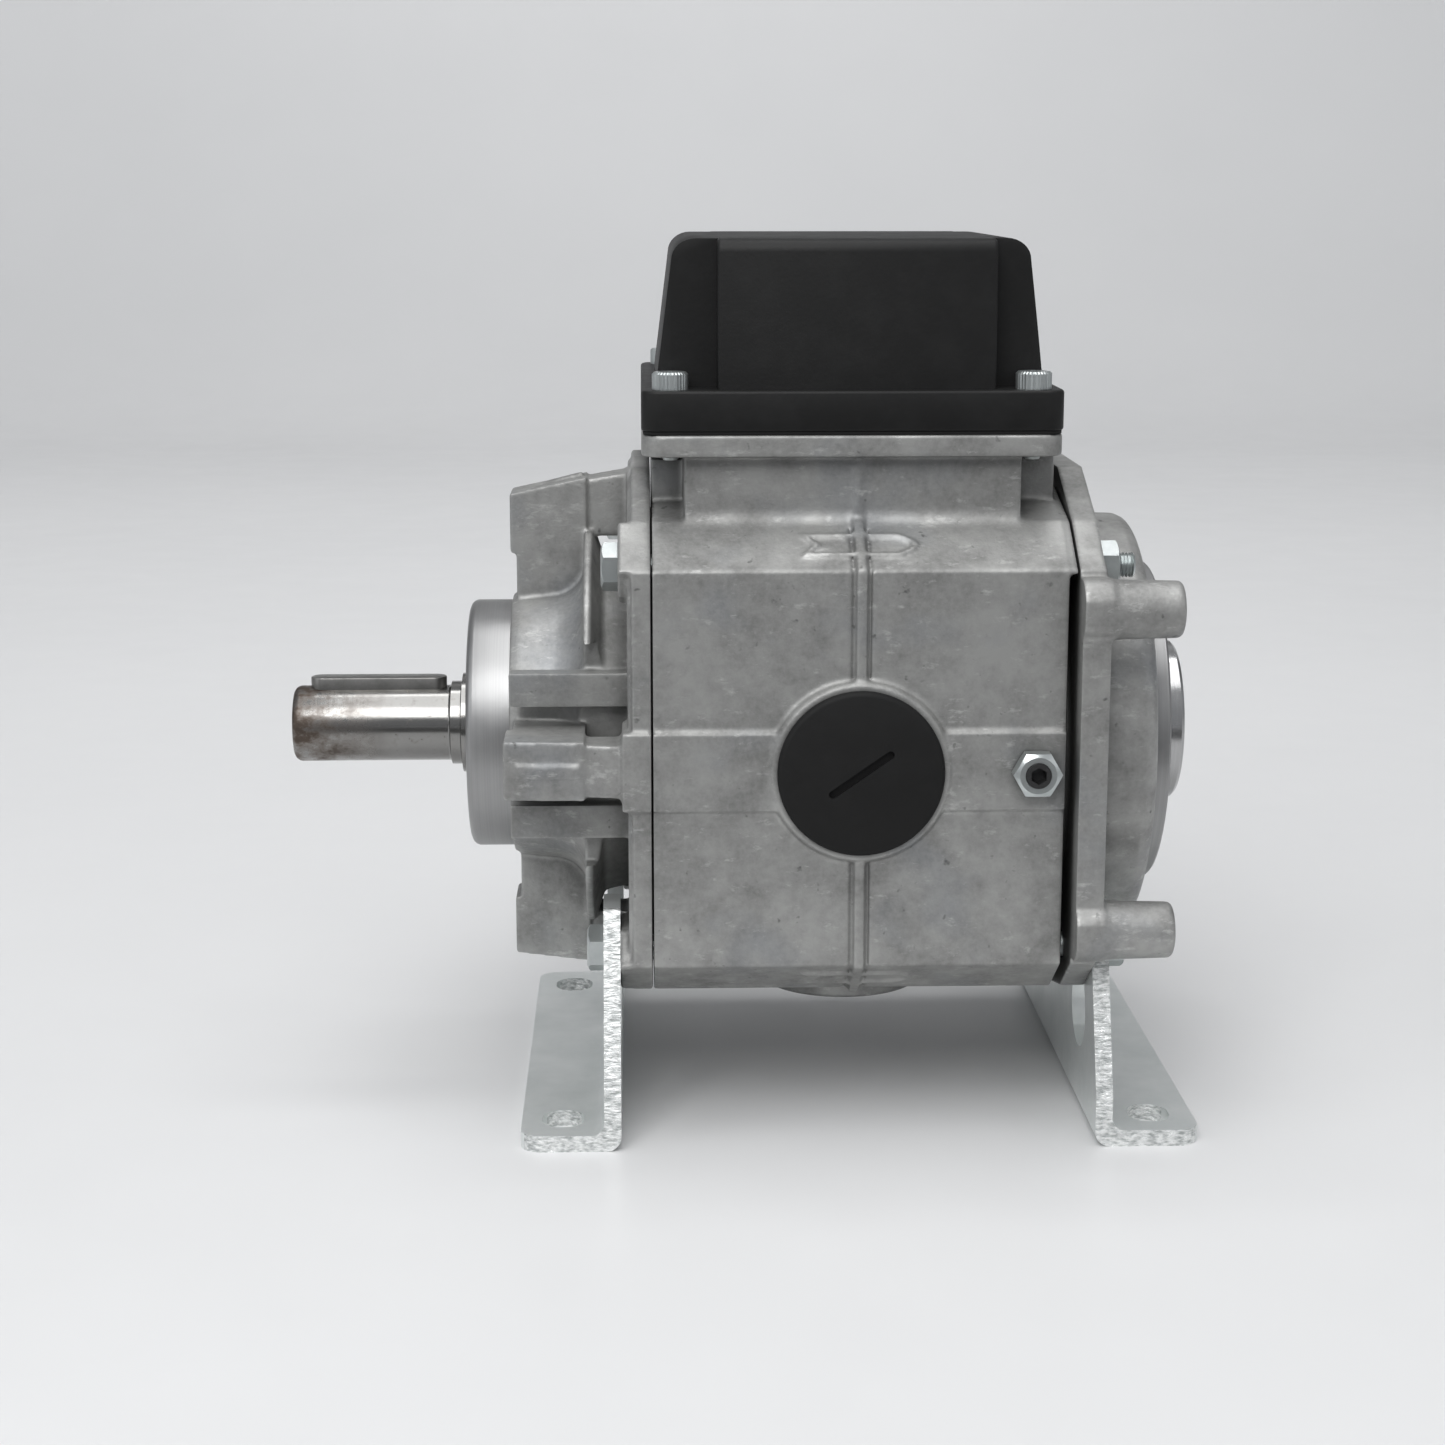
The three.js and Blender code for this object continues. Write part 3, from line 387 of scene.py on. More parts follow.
def cast_metal():
    """Die-cast aluminium: mottled skin, pits, light scuffs and bare edges, with painted shade in corners,
    joints and under overhangs.
    """
    made, tree, surface = shader("cast_aluminium", 0.58)
    patches = remap(tree, noise(tree, 75, 6, 0.64), 0.36, 0.64)
    grain = remap(tree, noise(tree, 900, 3, 0.6), 0.3, 0.7)
    scuffs = remap(tree, noise(tree, 330, 6, 0.74, (0.4, 1, 1)), 0.58, 0.72)
    pits = remap(tree, noise(tree, 420, 2, 0.5), 0.29, 0.2)
    blue = remap(tree, noise(tree, 34, 3, 0.5), 0.55, 0.72, 0, 0.55)
    tone = mixed(tree, patches, (0.2, 0.2, 0.194, 1), (0.365, 0.365, 0.355, 1))
    tone = mixed(tree, blue, tone, (0.235, 0.25, 0.27, 1))
    tone = mixed(tree, calc(tree, "MULTIPLY", grain, 0.35), tone, (0.38, 0.38, 0.37, 1))
    tone = mixed(tree, calc(tree, "MULTIPLY", scuffs, 0.6), tone, (0.6, 0.6, 0.585, 1))
    tone = mixed(tree, calc(tree, "MULTIPLY", pits, 0.7), tone, (0.07, 0.07, 0.07, 1))
    # painted shade: by ambient occlusion the tone runs to near black in corners, joints and under overhangs
    painted_corner_shade = remap(tree, crevice(tree, 0.007), 0.25, 0.85, 0.8, 0)
    tone = mixed(tree, painted_corner_shade, tone, (0.045, 0.045, 0.043, 1))
    geometry = tree.nodes.new("ShaderNodeNewGeometry")
    edges = remap(tree, geometry.outputs["Pointiness"], 0.52, 0.6, 0, 0.5)
    tone = mixed(tree, edges, tone, (0.55, 0.55, 0.54, 1))
    link(tree, tone, surface.inputs["Base Color"])
    link(tree, remap(tree, patches, 0, 1, 0.58, 0.44), surface.inputs["Roughness"])
    normal = bump(tree, noise(tree, 1300, 2), 0.00005)
    normal = bump(tree, noise(tree, 240, 3), 0.00012, normal)
    link(tree, normal, surface.inputs["Normal"])
    return made


def turned_metal(name, base, roughness, lines=2600):
    """A lathe-turned surface: fine rings along X and a faint drift in tone."""
    made, tree, surface = shader(name, 0.92)
    rings = noise(tree, lines, 2, 0.6, (1, 0.004, 0.004))
    drift = remap(tree, noise(tree, 70, 3), 0.3, 0.7)
    tone = mixed(tree, drift, grey(base), grey(base * 1.14))
    tone = mixed(tree, remap(tree, rings, 0.35, 0.65, 0, 0.22), tone, grey(base * 0.72))
    link(tree, tone, surface.inputs["Base Color"])
    link(tree, remap(tree, drift, 0, 1, roughness, roughness * 1.3), surface.inputs["Roughness"])
    link(tree, bump(tree, rings, 0.00002), surface.inputs["Normal"])
    return made


def stained_shaft():
    """Ground steel shaft, bright near the nose and stained brown towards its free end."""
    made, tree, surface = shader("stained_shaft_steel", 0.95)
    x = along(tree, "X")
    far = remap(tree, x, SHAFT_LOW.x * MM + 0.026, SHAFT_LOW.x * MM + 0.003)
    cloud = remap(tree, noise(tree, 190, 6, 0.68, (0.7, 1, 1)), 0.36, 0.62)
    specks = remap(tree, noise(tree, 700, 4, 0.7), 0.58, 0.7)
    rust = calc(tree, "MULTIPLY", far, cloud)
    rust = calc(tree, "MAXIMUM", rust, calc(tree, "MULTIPLY", specks, 0.28))
    rust = calc(tree, "MINIMUM", calc(tree, "MULTIPLY", rust, 1.15), 0.85)
    tone = mixed(tree, noise(tree, 60), (0.2, 0.198, 0.192, 1), (0.29, 0.287, 0.278, 1))
    brown = mixed(tree, cloud, (0.13, 0.09, 0.065, 1), (0.06, 0.04, 0.028, 1))
    link(tree, mixed(tree, rust, tone, brown), surface.inputs["Base Color"])
    link(tree, remap(tree, rust, 0, 0.8, 0.17, 0.5), surface.inputs["Roughness"])
    rings = noise(tree, 1600, 2, 0.6, (1, 0.01, 0.01))
    link(tree, bump(tree, rings, 0.00001), surface.inputs["Normal"])
    return made


def plain_metal(name, dark, light, roughness, metallic=0.95, scale=120, grain=0.00001):
    """Plated or bare metal with a soft drift in tone and a fine grain."""
    made, tree, surface = shader(name, metallic)
    drift = remap(tree, noise(tree, scale, 5, 0.6), 0.3, 0.7)
    link(tree, mixed(tree, drift, dark, light), surface.inputs["Base Color"])
    link(tree, remap(tree, drift, 0, 1, roughness * 1.25, roughness * 0.85), surface.inputs["Roughness"])
    link(tree, bump(tree, noise(tree, 2200, 3, 0.6), grain), surface.inputs["Normal"])
    return made


def sheared_zinc():
    """The torn edge that the press leaves on the plated feet: bright ridges across the sheet."""
    made, tree, surface = shader("sheared_zinc", 0.9)
    ridges = noise(tree, 780, 4, 0.65, (0.55, 1, 1.6))
    tone = mixed(tree, remap(tree, ridges, 0.36, 0.6), (0.42, 0.44, 0.435, 1), (0.93, 0.94, 0.93, 1))
    link(tree, tone, surface.inputs["Base Color"])
    link(tree, remap(tree, ridges, 0.3, 0.7, 0.5, 0.25), surface.inputs["Roughness"])
    link(tree, bump(tree, ridges, 0.00045), surface.inputs["Normal"])
    return made


def moulded(name, level, roughness, scale=1500, depth=0.00003):
    """Moulded plastic or rubber: near-black, finely grained, with faint rub marks."""
    made, tree, surface = shader(name, 0, Specular_IOR_Level=0.22)
    rub = remap(tree, noise(tree, 110, 6, 0.7), 0.45, 0.75)
    tone = mixed(tree, calc(tree, "MULTIPLY", rub, 0.5), grey(level), grey(level * 1.7))
    link(tree, tone, surface.inputs["Base Color"])
    link(tree, remap(tree, rub, 0, 1, roughness, roughness * 1.2), surface.inputs["Roughness"])
    link(tree, bump(tree, noise(tree, scale, 3, 0.6), depth), surface.inputs["Normal"])
    return made


ZINC = plain_metal("zinc_plate", (0.72, 0.755, 0.745, 1), (0.88, 0.905, 0.895, 1), 0.36, 0.8, 45, 0.00003)
FASTENER = plain_metal("zinc_fastener", (0.42, 0.45, 0.45, 1), (0.6, 0.63, 0.625, 1), 0.3, 0.88, 90, 0.00002)
SHEARED = sheared_zinc()
CAST = cast_metal()
NOSE = turned_metal("turned_aluminium", 0.31, 0.36)
HUB = turned_metal("polished_steel", 0.4, 0.16)
SHAFT = stained_shaft()
LID = moulded("lid_plastic", 0.0095, 0.47, 900, 0.00004)
RUBBER = moulded("black_rubber", 0.008, 0.6)
BLACKENED = plain_metal("blackened_steel", (0.035, 0.035, 0.036, 1), (0.07, 0.07, 0.07, 1), 0.38, 0.7)
KEY_STEEL = plain_metal("key_steel", (0.15, 0.148, 0.142, 1), (0.27, 0.265, 0.255, 1), 0.34, 0.9, 220)
SLOT_LOOKS = {
    "cast_aluminium": CAST,
    "turned_steel": HUB,
    "zinc_plated_steel": ZINC,
    "black_plastic": LID,
    "black_rubber": RUBBER,
    "black_steel": BLACKENED,
    "phenolic": plain_metal("phenolic_resin", (0.1, 0.045, 0.02, 1), (0.16, 0.075, 0.035, 1), 0.5, 0),
    "bearing_steel": plain_metal("bearing_steel", grey(0.5), grey(0.6), 0.2),
    "spring_steel": plain_metal("spring_steel", grey(0.14), grey(0.2), 0.32),
    "magnet_steel": plain_metal("magnet_steel", grey(0.18), grey(0.26), 0.5, 0.9),
    "copper_winding": plain_metal("copper_winding", (0.45, 0.17, 0.07, 1), (0.6, 0.25, 0.11, 1), 0.35),
    "friction_lining": plain_metal("friction_lining", (0.05, 0.04, 0.03, 1), (0.1, 0.08, 0.06, 1), 0.85, 0),
    "sintered_bronze": plain_metal("sintered_bronze", (0.4, 0.26, 0.1, 1), (0.52, 0.35, 0.15, 1), 0.5),
}


# ---------------------------------------------------------------- castings
def section(grow=0, crown=CROWN):
    """The shared eight-sided section, grown outwards, as (y, z) points."""
    half = [
        (HALF_WIDTH + grow, FLAT + grow * 0.3), (SHOULDER[0] + grow * 0.5, SHOULDER[1] + grow),
        (crown[0], crown[1] + grow),
    ]
    upper = half + [(-y, z) for y, z in half[::-1]]
    lower_half = [(CROWN[0], CROWN[1] + grow)] + half[1::-1]
    lower = [(-y, -z) for y, z in lower_half[::-1]] + [(y, -z) for y, z in lower_half]
    return upper + lower


def bands(x0, x1, inner):
    """The raised band at shaft height, front and rear, between x0 and x1."""
    outer = HALF_WIDTH + BAND_PROUD
    return [
        block(x0, x1, side * inner, side * outer, -BAND_HALF_HEIGHT, BAND_HALF_HEIGHT)
        for side in (-1, 1)
    ]


def arrow_outline(half_length, half_height, tail, tip):
    """An arrow pointing to +a with a notched tail."""
    return [
        (-half_length, -half_height), (half_length - tip, -half_height),
        (half_length - tip * 0.25, -half_height * 0.45), (half_length, 0),
        (half_length - tip * 0.25, half_height * 0.45), (half_length - tip, half_height),
        (-half_length, half_height), (-half_length + tail, 0),
    ]


def facet_arrow(side, up):
    """The raised arrow outline on a sloping facet, side -1 at the front, up -1 on the lower facet."""
    low = Vector((0, side * HALF_WIDTH, up * FLAT))
    high = Vector((0, side * SHOULDER[0], up * SHOULDER[1]))
    slope = (high - low).normalized()
    outward = Vector((1, 0, 0)).cross(slope)
    if outward.y * side < 0:
        outward = -outward
    middle = low.lerp(high, 0.5)
    place = Matrix((
        (1, 0, 0, MIDDLE),
        (0, slope.y, outward.y, middle.y),
        (0, slope.z, outward.z, middle.z),
        (0, 0, 0, 1),
    ))
    outer = prism(arrow_outline(13.6, 3.9, 2.8, 4.4), -1.5, 0.7, place=place)
    inner = prism(arrow_outline(12.3, 2.9, 3.2, 3.9), -3, 3, place=place)
    return cut(outer, inner)


def front_cove():
    """The soft hollow where the sloping facet turns up into the neck, front and rear."""
    reach = 47.8
    rise = (SHOULDER[1] - FLAT) / (HALF_WIDTH - SHOULDER[0])
    low = Vector((reach, FLAT + (HALF_WIDTH - reach) * rise))
    corner = Vector((NECK_HALF_WIDTH, SHOULDER[1] + 0.2))
    high = Vector((NECK_HALF_WIDTH, 59.5))
    inner = NECK_HALF_WIDTH - 4
    curve = [low.lerp(corner, t / 8).lerp(corner.lerp(high, t / 8), t / 8) for t in range(9)]
    outline = [(p.x, p.y) for p in curve] + [(inner, high.y), (inner, 50), (reach, 50)]
    return [prism([(side * y, z) for y, z in outline], NECK_LEFT, NECK_RIGHT) for side in (-1, 1)]


def plug_boss(side):
    """The round boss around an inspection plug, side -1 at the front."""
    profile = [(50, 0), (50, 22), (60, 21.6), (61.6, 21.3), (62.5, 20.6), (62.5, 0)]
    return turned([(side * y, radius) for y, radius in profile], "Y", (MIDDLE, 0))


def housing():
    """The drum with its bands, ribs and arrows, its neck and the flange of the terminal box."""
    x0 = HOUSE_LOW.x
    x1 = HOUSE_HIGH.x
    left = GASKET_LOW.x - 0.4
    right = GASKET_HIGH.x + 0.4
    flange_top = GASKET_LOW.z
    width = NECK_HALF_WIDTH
    rib_top = BOX_FLANGE_BOTTOM + 1
    lip = cut(
        prism(section(-0.3), DRUM_RIGHT - 4, INPUT_PLATE_LEFT - 0.45),
        block(60, 90, -80, 80, -80, FLAT - 1),
    )
    body = prism(section(), DRUM_LEFT, DRUM_RIGHT)
    groove = cut(prism(section(4), MIDDLE - 2.5, MIDDLE + 2.5), prism(section(-0.7), x0, x1))
    body = cut(body, groove)
    body = joined(
        body,
        prism(section(0.9), MIDDLE - 1.2, MIDDLE + 1.2),
        *bands(DRUM_LEFT, DRUM_RIGHT, 55),
        *[plug_boss(side) for side in (1, -1)],
        turned([(-67.3, 0), (-67.3, 19.6), (-66.4, 21.4), (-40, 22.4), (-40, 0)], "Z", (MIDDLE, 0)),
        block(NECK_LEFT, NECK_RIGHT, -width, width, 40, rib_top),
        prism(rounded(left, right, -LID_HIGH.y, LID_HIGH.y, 5.5), BOX_FLANGE_BOTTOM, flange_top, "Z"),
        *front_cove(),
        block(DRUM_LEFT, -12, -32, 32, 50, 69.6),
        block(64, DRUM_RIGHT, -32, 32, 50, 70.8),
        lip,
        *[facet_arrow(side, up) for side in (-1, 1) for up in (-1, 1)],
    )
    # thin centre line up the neck, front and rear
    body = joined(body, block(MIDDLE - 0.8, MIDDLE + 0.8, -width - 0.7, width + 0.7, 56, rib_top))
    body = cut(
        body,
        turned([(x0 - 5, 0), (x0 - 5, BORE), (x1 + 5, BORE), (x1 + 5, 0)]),
        rod("Y", MIDDLE, 0, PLUG_HOLE, -70, 70),
        block(-9, 61, -38, 38, 58.5, flange_top + 1),
        rod("Z", 52, 20, 6, 40, 60),
        rod("Z", MIDDLE, -12, 1.6, -70, -66),
        rod("Y", limits("set_screw")[0].x + 3, 0, 3.25, -70, -40),
        *bolt_holes(BOLT_HOLE, x0 - 5, x1 + 5),
    )
    finish_piece(cast(body), "housing_casting", "casing", CAST, ["main_housing"])


def shield_lug(quarter, tip):
    """One radial lug of the output shield with the strut behind it, turned from pointing up."""
    face, back = -55.85, -36.95
    lug = [
        (face + 1.5, 30), (face + 1.5, 43.9), (face, 43.9),
        (face, 58.6), (back, tip - 1.4), (back, 31),
    ]
    strut = [(back - 2, 48), (back - 2, tip - 2.4), (PLATE_LEFT + 1, tip), (PLATE_LEFT + 1, 48)]
    ridge = [(face + 3, 40), (face + 3, 59.5), (back - 1, tip - 0.7), (back - 1, 40)]
    made = joined(
        prism(lug, -7, 7, "Y"), prism(strut, -6.2, 6.2, "Y"), prism(ridge, -1.5, 1.5, "Y"),
    )
    made = cut(made, rod("X", 0, 50, 3.4, face - 1, face + 13))
    made.data.transform(Matrix.Rotation(quarter * math.pi / 2, 4, "X"))
    return made


def bolt_pad(y, z):
    """The raised corner of the shield's plate under a bolt head."""
    corner = [(HALF_WIDTH, FLAT), SHOULDER, (37, 53), (38, 40), (46, 37.5), (54, 40), (59, 45.6)]
    return prism([(a * y, b * z) for a, b in corner], PAD_FACE, PLATE_LEFT + 1)


def end_shield():
    """The output end shield and its machined nose."""
    flare = [(-55.6, 32.4)] + [(-46 - 9 * (1 - t / 6), 33 + 1 * t / 6) for t in range(1, 7)]
    flare += arc(-46, 43, 9, 270, 340, 6)
    shell = turned(
        [(-55.6, 29)] + flare + [
            (-37.4, 50), (-35.6, 50), (-33, 42.5), (PLATE_LEFT, 41), (PLATE_RIGHT, 46),
            (PLATE_RIGHT, 53.2), (-15.8, 53.2), (-15.8, 35), (-33, 33), (-43.4, 30), (-43.4, 27.8),
            (-45, 27.8), (-45, 29),
        ], ring=True,
    )
    shell = cut(shell, *[
        block(-50, PLATE_LEFT - 0.2, y * 37.2, y * 70, z * 2, z * 27) for y, z in QUADRANTS
    ])
    plate = cut(
        prism(section(0, PLATE_CROWN), PLATE_LEFT, PLATE_RIGHT),
        rod("X", 0, 0, 40.5, -40, -10, ROUND),
    )
    step = cut(
        prism(section(-2.4, PLATE_CROWN), PLATE_LEFT - 0.9, PLATE_RIGHT),
        rod("X", 0, 0, 47, -40, -10, ROUND),
    )
    lug_tips = [64, 61, 62.4, 61]
    body = joined(
        shell, plate, step,
        *bands(PAD_FACE + 0.7, PLATE_LEFT + 1, 45),
        *bands(PLATE_LEFT, PLATE_RIGHT, 55),
        *[bolt_pad(y, z) for y, z in QUADRANTS],
        *[shield_lug(quarter, tip) for quarter, tip in enumerate(lug_tips)],
        *[block(-55, PLATE_LEFT + 1, y * 36, y * 42, z * 16 - 4, z * 16 + 4) for y, z in QUADRANTS],
    )
    body = cast(cut(body, *bolt_holes(BOLT_HOLE, -40, -10)))
    body = cut(body, rod("X", 0, 0, 27, -60, -30, ROUND))
    finish_piece(body, "end_shield_casting", "casing", CAST, ["output_end_shield"])
    left = SHIELD_LEFT
    nose = turned([
        (left, 20.15), (left, 29.2), (left + 0.35, 30.1), (left + 0.9, 30.65),
        (left + 1.8, 31), (-55.3, 31), (-55.3, 26.15), (-60.25, 26.15), (-60.25, 20.15),
    ], ring=True)
    finish_piece(nose, "end_shield_nose", "casing", NOSE)


def input_end():
    """The input flange with its posts, and the centring spigot on it."""
    right = 98.55
    spigot_right = FLANGE_RIGHT
    plate = cut(
        prism(section(0, PLATE_CROWN), INPUT_PLATE_LEFT, INPUT_PLATE_RIGHT),
        rod("X", 0, 0, 46, 60, 95, ROUND),
    )
    step = cut(
        prism(section(-2.4, PLATE_CROWN), INPUT_PLATE_LEFT + 1, INPUT_PLATE_RIGHT + 0.9),
        rod("X", 0, 0, 46, 60, 95, ROUND),
    )
    shell = turned([
        (66.6, 36.8), (66.6, 47), (72, 47), (72, 53.2), (INPUT_PLATE_RIGHT, 53.2),
        (INPUT_PLATE_RIGHT, 52.5), (right - 3.4, 52.2), (right - 1.4, 51.3), (right - 0.4, 49.9),
        (right, 48.2), (right, 38), (right - 4, 38), (right - 4, 36), (85.3, 34.2), (70.1, 34.2),
        (70.1, 36.8),
    ], ring=True)
    rims = []
    for side in (-1, 1):
        outline = rounded(side * 61.25 - 5.25, side * 61.25 + 5.25, -44.5, 44.5, 2)
        rims.append(prism(outline, INPUT_PLATE_LEFT, INPUT_PLATE_RIGHT + 0.6))
    post = [
        (INPUT_PLATE_LEFT, 0), (INPUT_PLATE_LEFT, 7.4), (83.7, 7.4), (84.6, 7), (88, 6.85),
        (99.4, 6.6), (100.3, 5.9), (100.3, 0),
    ]
    posts = [turned(post, "X", (y * POST_Y, z * POST_Z), segments=48) for y, z in QUADRANTS]
    posts = [common(p, block(70, 110, -69.2, 69.2, -70, 70)) for p in posts]
    body = joined(plate, step, shell, *rims, *posts)
    body = cut(
        body,
        *bolt_holes(BOLT_HOLE, 60, 95),
        *bolt_holes(8.4, INPUT_PLATE_RIGHT + 0.05, 97),
        *[rod("X", y * POST_HOLE_Y, z * POST_Z, 2.5, 88, 102) for y, z in QUADRANTS],
    )
    finish_piece(cast(body), "input_flange_casting", "casing", CAST, ["input_flange"])
    spigot = turned([
        (right - 3, 40), (spigot_right - 0.5, 40), (spigot_right, 39.5), (spigot_right, 33.2),
        (spigot_right - 1.2, 32.4), (spigot_right - 1.2, 22), (spigot_right, 21.6),
        (spigot_right, 21), (88.5, 21), (88.5, 25), (85.3, 25), (85.3, 38), (right - 3, 38),
    ], ring=True)
    finish_piece(spigot, "input_flange_spigot", "casing", NOSE)


# ---------------------------------------------------------------- terminal box
def lid_front(inset, top):
    """The crown seen from the front: sloping ends and large top corners, as (x, z) points."""
    base = 46.3 - inset
    head = 41 - inset
    right = [(LID_CENTRE + base, LID_LOW.z + 2)]
    for i in range(9):
        t = math.radians(90 * i / 8)
        x = LID_CENTRE + head + 0.7 - 5.7 * (1 - math.cos(t))
        right.append((x, top - 5 + 5 * math.sin(t)))
    left = [(2 * LID_CENTRE - x, z) for x, z in right[::-1]]
    return right + left


def lid_panel(inset, top):
    """The raised middle panel seen from the end, with a rolled top edge, as (y, z) points."""
    base, head = 46.8 - inset, 45.4 - inset
    right = [(base, LID_LOW.z + 2)] + arc(head - 3, top - 3, 3, 0, 90, 6)
    return right + [(-y, z) for y, z in right[::-1]]


def lid():
    """The hollow lid: its flange, sloping crown and raised middle panel."""
    top = LID_HIGH.z
    seat = LID_LOW.z
    outline = rounded(LID_LOW.x, LID_HIGH.x, LID_LOW.y, LID_HIGH.y, 4)
    flange = prism(outline, seat, LID_FLANGE_TOP, "Z")
    crown = common(
        prism(lid_front(0, top), -39, 39, "Y"),
        prism(rounded(LID_CENTRE - 46.6, LID_CENTRE + 46.6, -38.6, 38.6, 5), seat, top + 1, "Z"),
    )
    panel = prism(lid_panel(0, top), LID_CENTRE - 31.2, LID_CENTRE + 33.2)
    body = joined(
        bevelled(flange, 0.7), bevelled(crown, 1.2, angle=50), bevelled(panel, 0.8, angle=50),
        rod("Y", LID_CENTRE, ENTRY_HEIGHT, 12, 40, 48, ROUND),
    )
    body = cut(
        body,
        prism(lid_front(6, top - 3), -35, 35, "Y"),
        prism(lid_panel(3, top - 3), LID_CENTRE - 28, LID_CENTRE + 30),
        block(LID_CENTRE - 40, LID_CENTRE + 40, -35, 35, seat - 1, seat + 5),
        rod("Y", LID_CENTRE, ENTRY_HEIGHT, 8, 35, 50),
        *[
            rod("Z", LID_CENTRE + x * LID_SCREW_X, y * LID_SCREW_Y, 2.3, seat - 1, LID_FLANGE_TOP + 1)
            for x, y in QUADRANTS
        ],
    )
    finish_piece(body, "terminal_box_lid_shell", "casing", LID, ["terminal_box_lid"])


def lid_screw(index, x, y):
    """A screw with a knurled cheese head and a cross recess."""
    node = f"lid_screw_{index}"
    low, high = limits(node)
    head_low = LID_FLANGE_TOP
    head_high = high.z
    radius = 4.2
    head = turned([
        (head_low, 0), (head_low, radius), (head_high - 0.5, radius),
        (head_high, radius - 0.5), (head_high, 0),
    ], "Z", (x, y), segments=64, ripple=0.14)
    shank = turned([
        (low.z, 0), (low.z, 1.6), (low.z + 0.6, 2), (head_low + 1, 2), (head_low + 1, 0),
    ], "Z", (x, y))
    cross = [
        block(x - u, x + u, y - v, y + v, head_high - 1.9, head_high + 1)
        for u, v in ((2.4, 0.55), (0.55, 2.4))
    ]
    screw = cut(joined(head, shank), *cross)
    finish_piece(
        screw, f"{node}_cheese_head", "casing", FASTENER, [node], 25,
    )


# ---------------------------------------------------------------- plugs and fasteners
def plug(side, name):
    """A rubber inspection plug with its coin slot, side -1 at the front."""
    face = side * 64.3
    profile = [
        (64.3, 0), (64.3, 18.2), (64.1, 18.8), (63.7, 19.2), (63.2, 19.4),
        (62.6, 19.4), (62.6, 16.7), (56.5, 16.7), (55, 15.6), (55, 0),
    ]
    disc = turned([(side * y, radius) for y, radius in profile], "Y", (MIDDLE, 0))
    turn = Matrix.Rotation(math.radians(-35), 4, "Y")
    slot = prism(rounded(-9, 9, -0.95, 0.95, 0.9, 4), face - 1.3, face + 1.3, "Y")
    slot.data.transform(Matrix.Translation((MIDDLE, 0, 0)) @ turn)
    finish_piece(cut(disc, slot), f"{name}_cap", "casing", RUBBER, [name])


def hex_solid(axis, a, b, across, low, high, chamfer_low, chamfer_high, phase=90):
    """A hexagon head or nut with its corners chamfered at either end."""
    ring = [(a + u, b + v) for u, v in hexagon(across, phase)]
    blank = prism(ring, low, high, axis)
    r, drop = across / 2, across * 0.075
    profile = [(low, 0), (low, r - (drop if chamfer_low else 0) * 1.7)]
    if chamfer_low:
        profile.append((low + drop * 0.9, r + 0.05))
    if chamfer_high:
        profile.append((high - drop * 0.9, r + 0.05))
    profile += [(high, r - (drop if chamfer_high else 0) * 1.7), (high, 0)]
    return common(blank, turned(profile, axis, (a, b), segments=48))


def threaded(axis, a, b, radius, low, high, pitch=0.8):
    """A threaded end as a stack of grooves."""
    profile = [(low, 0), (low, radius)]
    t = low + pitch
    while t < high - pitch:
        profile += [(t, radius), (t + pitch * 0.5, radius - 0.42)]
        t += pitch
    profile += [(high - 0.5, radius), (high, radius - 0.5), (high, 0)]
    return turned(profile, axis, (a, b), segments=32)


def through_bolt(index, y, z):
    """A through bolt with its threaded end, and its nut."""
    bolt_node = f"through_bolt_{index}"
    nut_node = f"through_nut_{index}"
    low, high = limits(bolt_node)
    nut_low, nut_high = limits(nut_node)
    a = y * BOLT_OFFSET
    b = z * BOLT_OFFSET
    head_right = low.x + 4
    head = hex_solid("X", a, b, high.z - low.z, low.x, head_right, True, False)
    shank = rod("X", a, b, 2.95, head_right - 1, nut_low.x - 4)
    end = threaded("X", a, b, 2.97, nut_low.x - 5, high.x)
    bolt = joined(head, shank, end)
    finish_piece(bolt, f"{bolt_node}_hex", "casing", FASTENER, [bolt_node], 28)
    nut = hex_solid("X", a, b, nut_high.z - nut_low.z, nut_low.x, nut_high.x, True, True)
    nut = cut(nut, rod("X", a, b, 3.02, nut_low.x - 1, nut_high.x + 1))
    finish_piece(nut, f"{nut_node}_hex", "casing", FASTENER, [nut_node], 28)


def adjuster():
    """The socket set screw in the front band and its lock nut."""
    low, high = limits("set_screw")
    x = (low.x + high.x) / 2
    screw = threaded("Y", x, 0, 2.95, low.y + 0.01, high.y)
    socket = prism([(x + u, v) for u, v in hexagon(4)], low.y - 1, low.y + 3.4, "Y")
    screw = cut(screw, socket)
    finish_piece(screw, "set_screw_socket", "casing", BLACKENED, ["set_screw"], 25)
    nut_low, nut_high = limits("lock_nut")
    across = nut_high.x - nut_low.x
    corner = max(across, nut_high.z - nut_low.z)
    phase = 0 if across > nut_high.z - nut_low.z else 90
    nut = hex_solid("Y", x, 0, corner, nut_low.y, nut_high.y, True, True, phase)
    nut = cut(nut, rod("Y", x, 0, 3.05, nut_low.y - 1, nut_high.y + 1))
    finish_piece(nut, "lock_nut_hex", "casing", FASTENER, ["lock_nut"], 25)


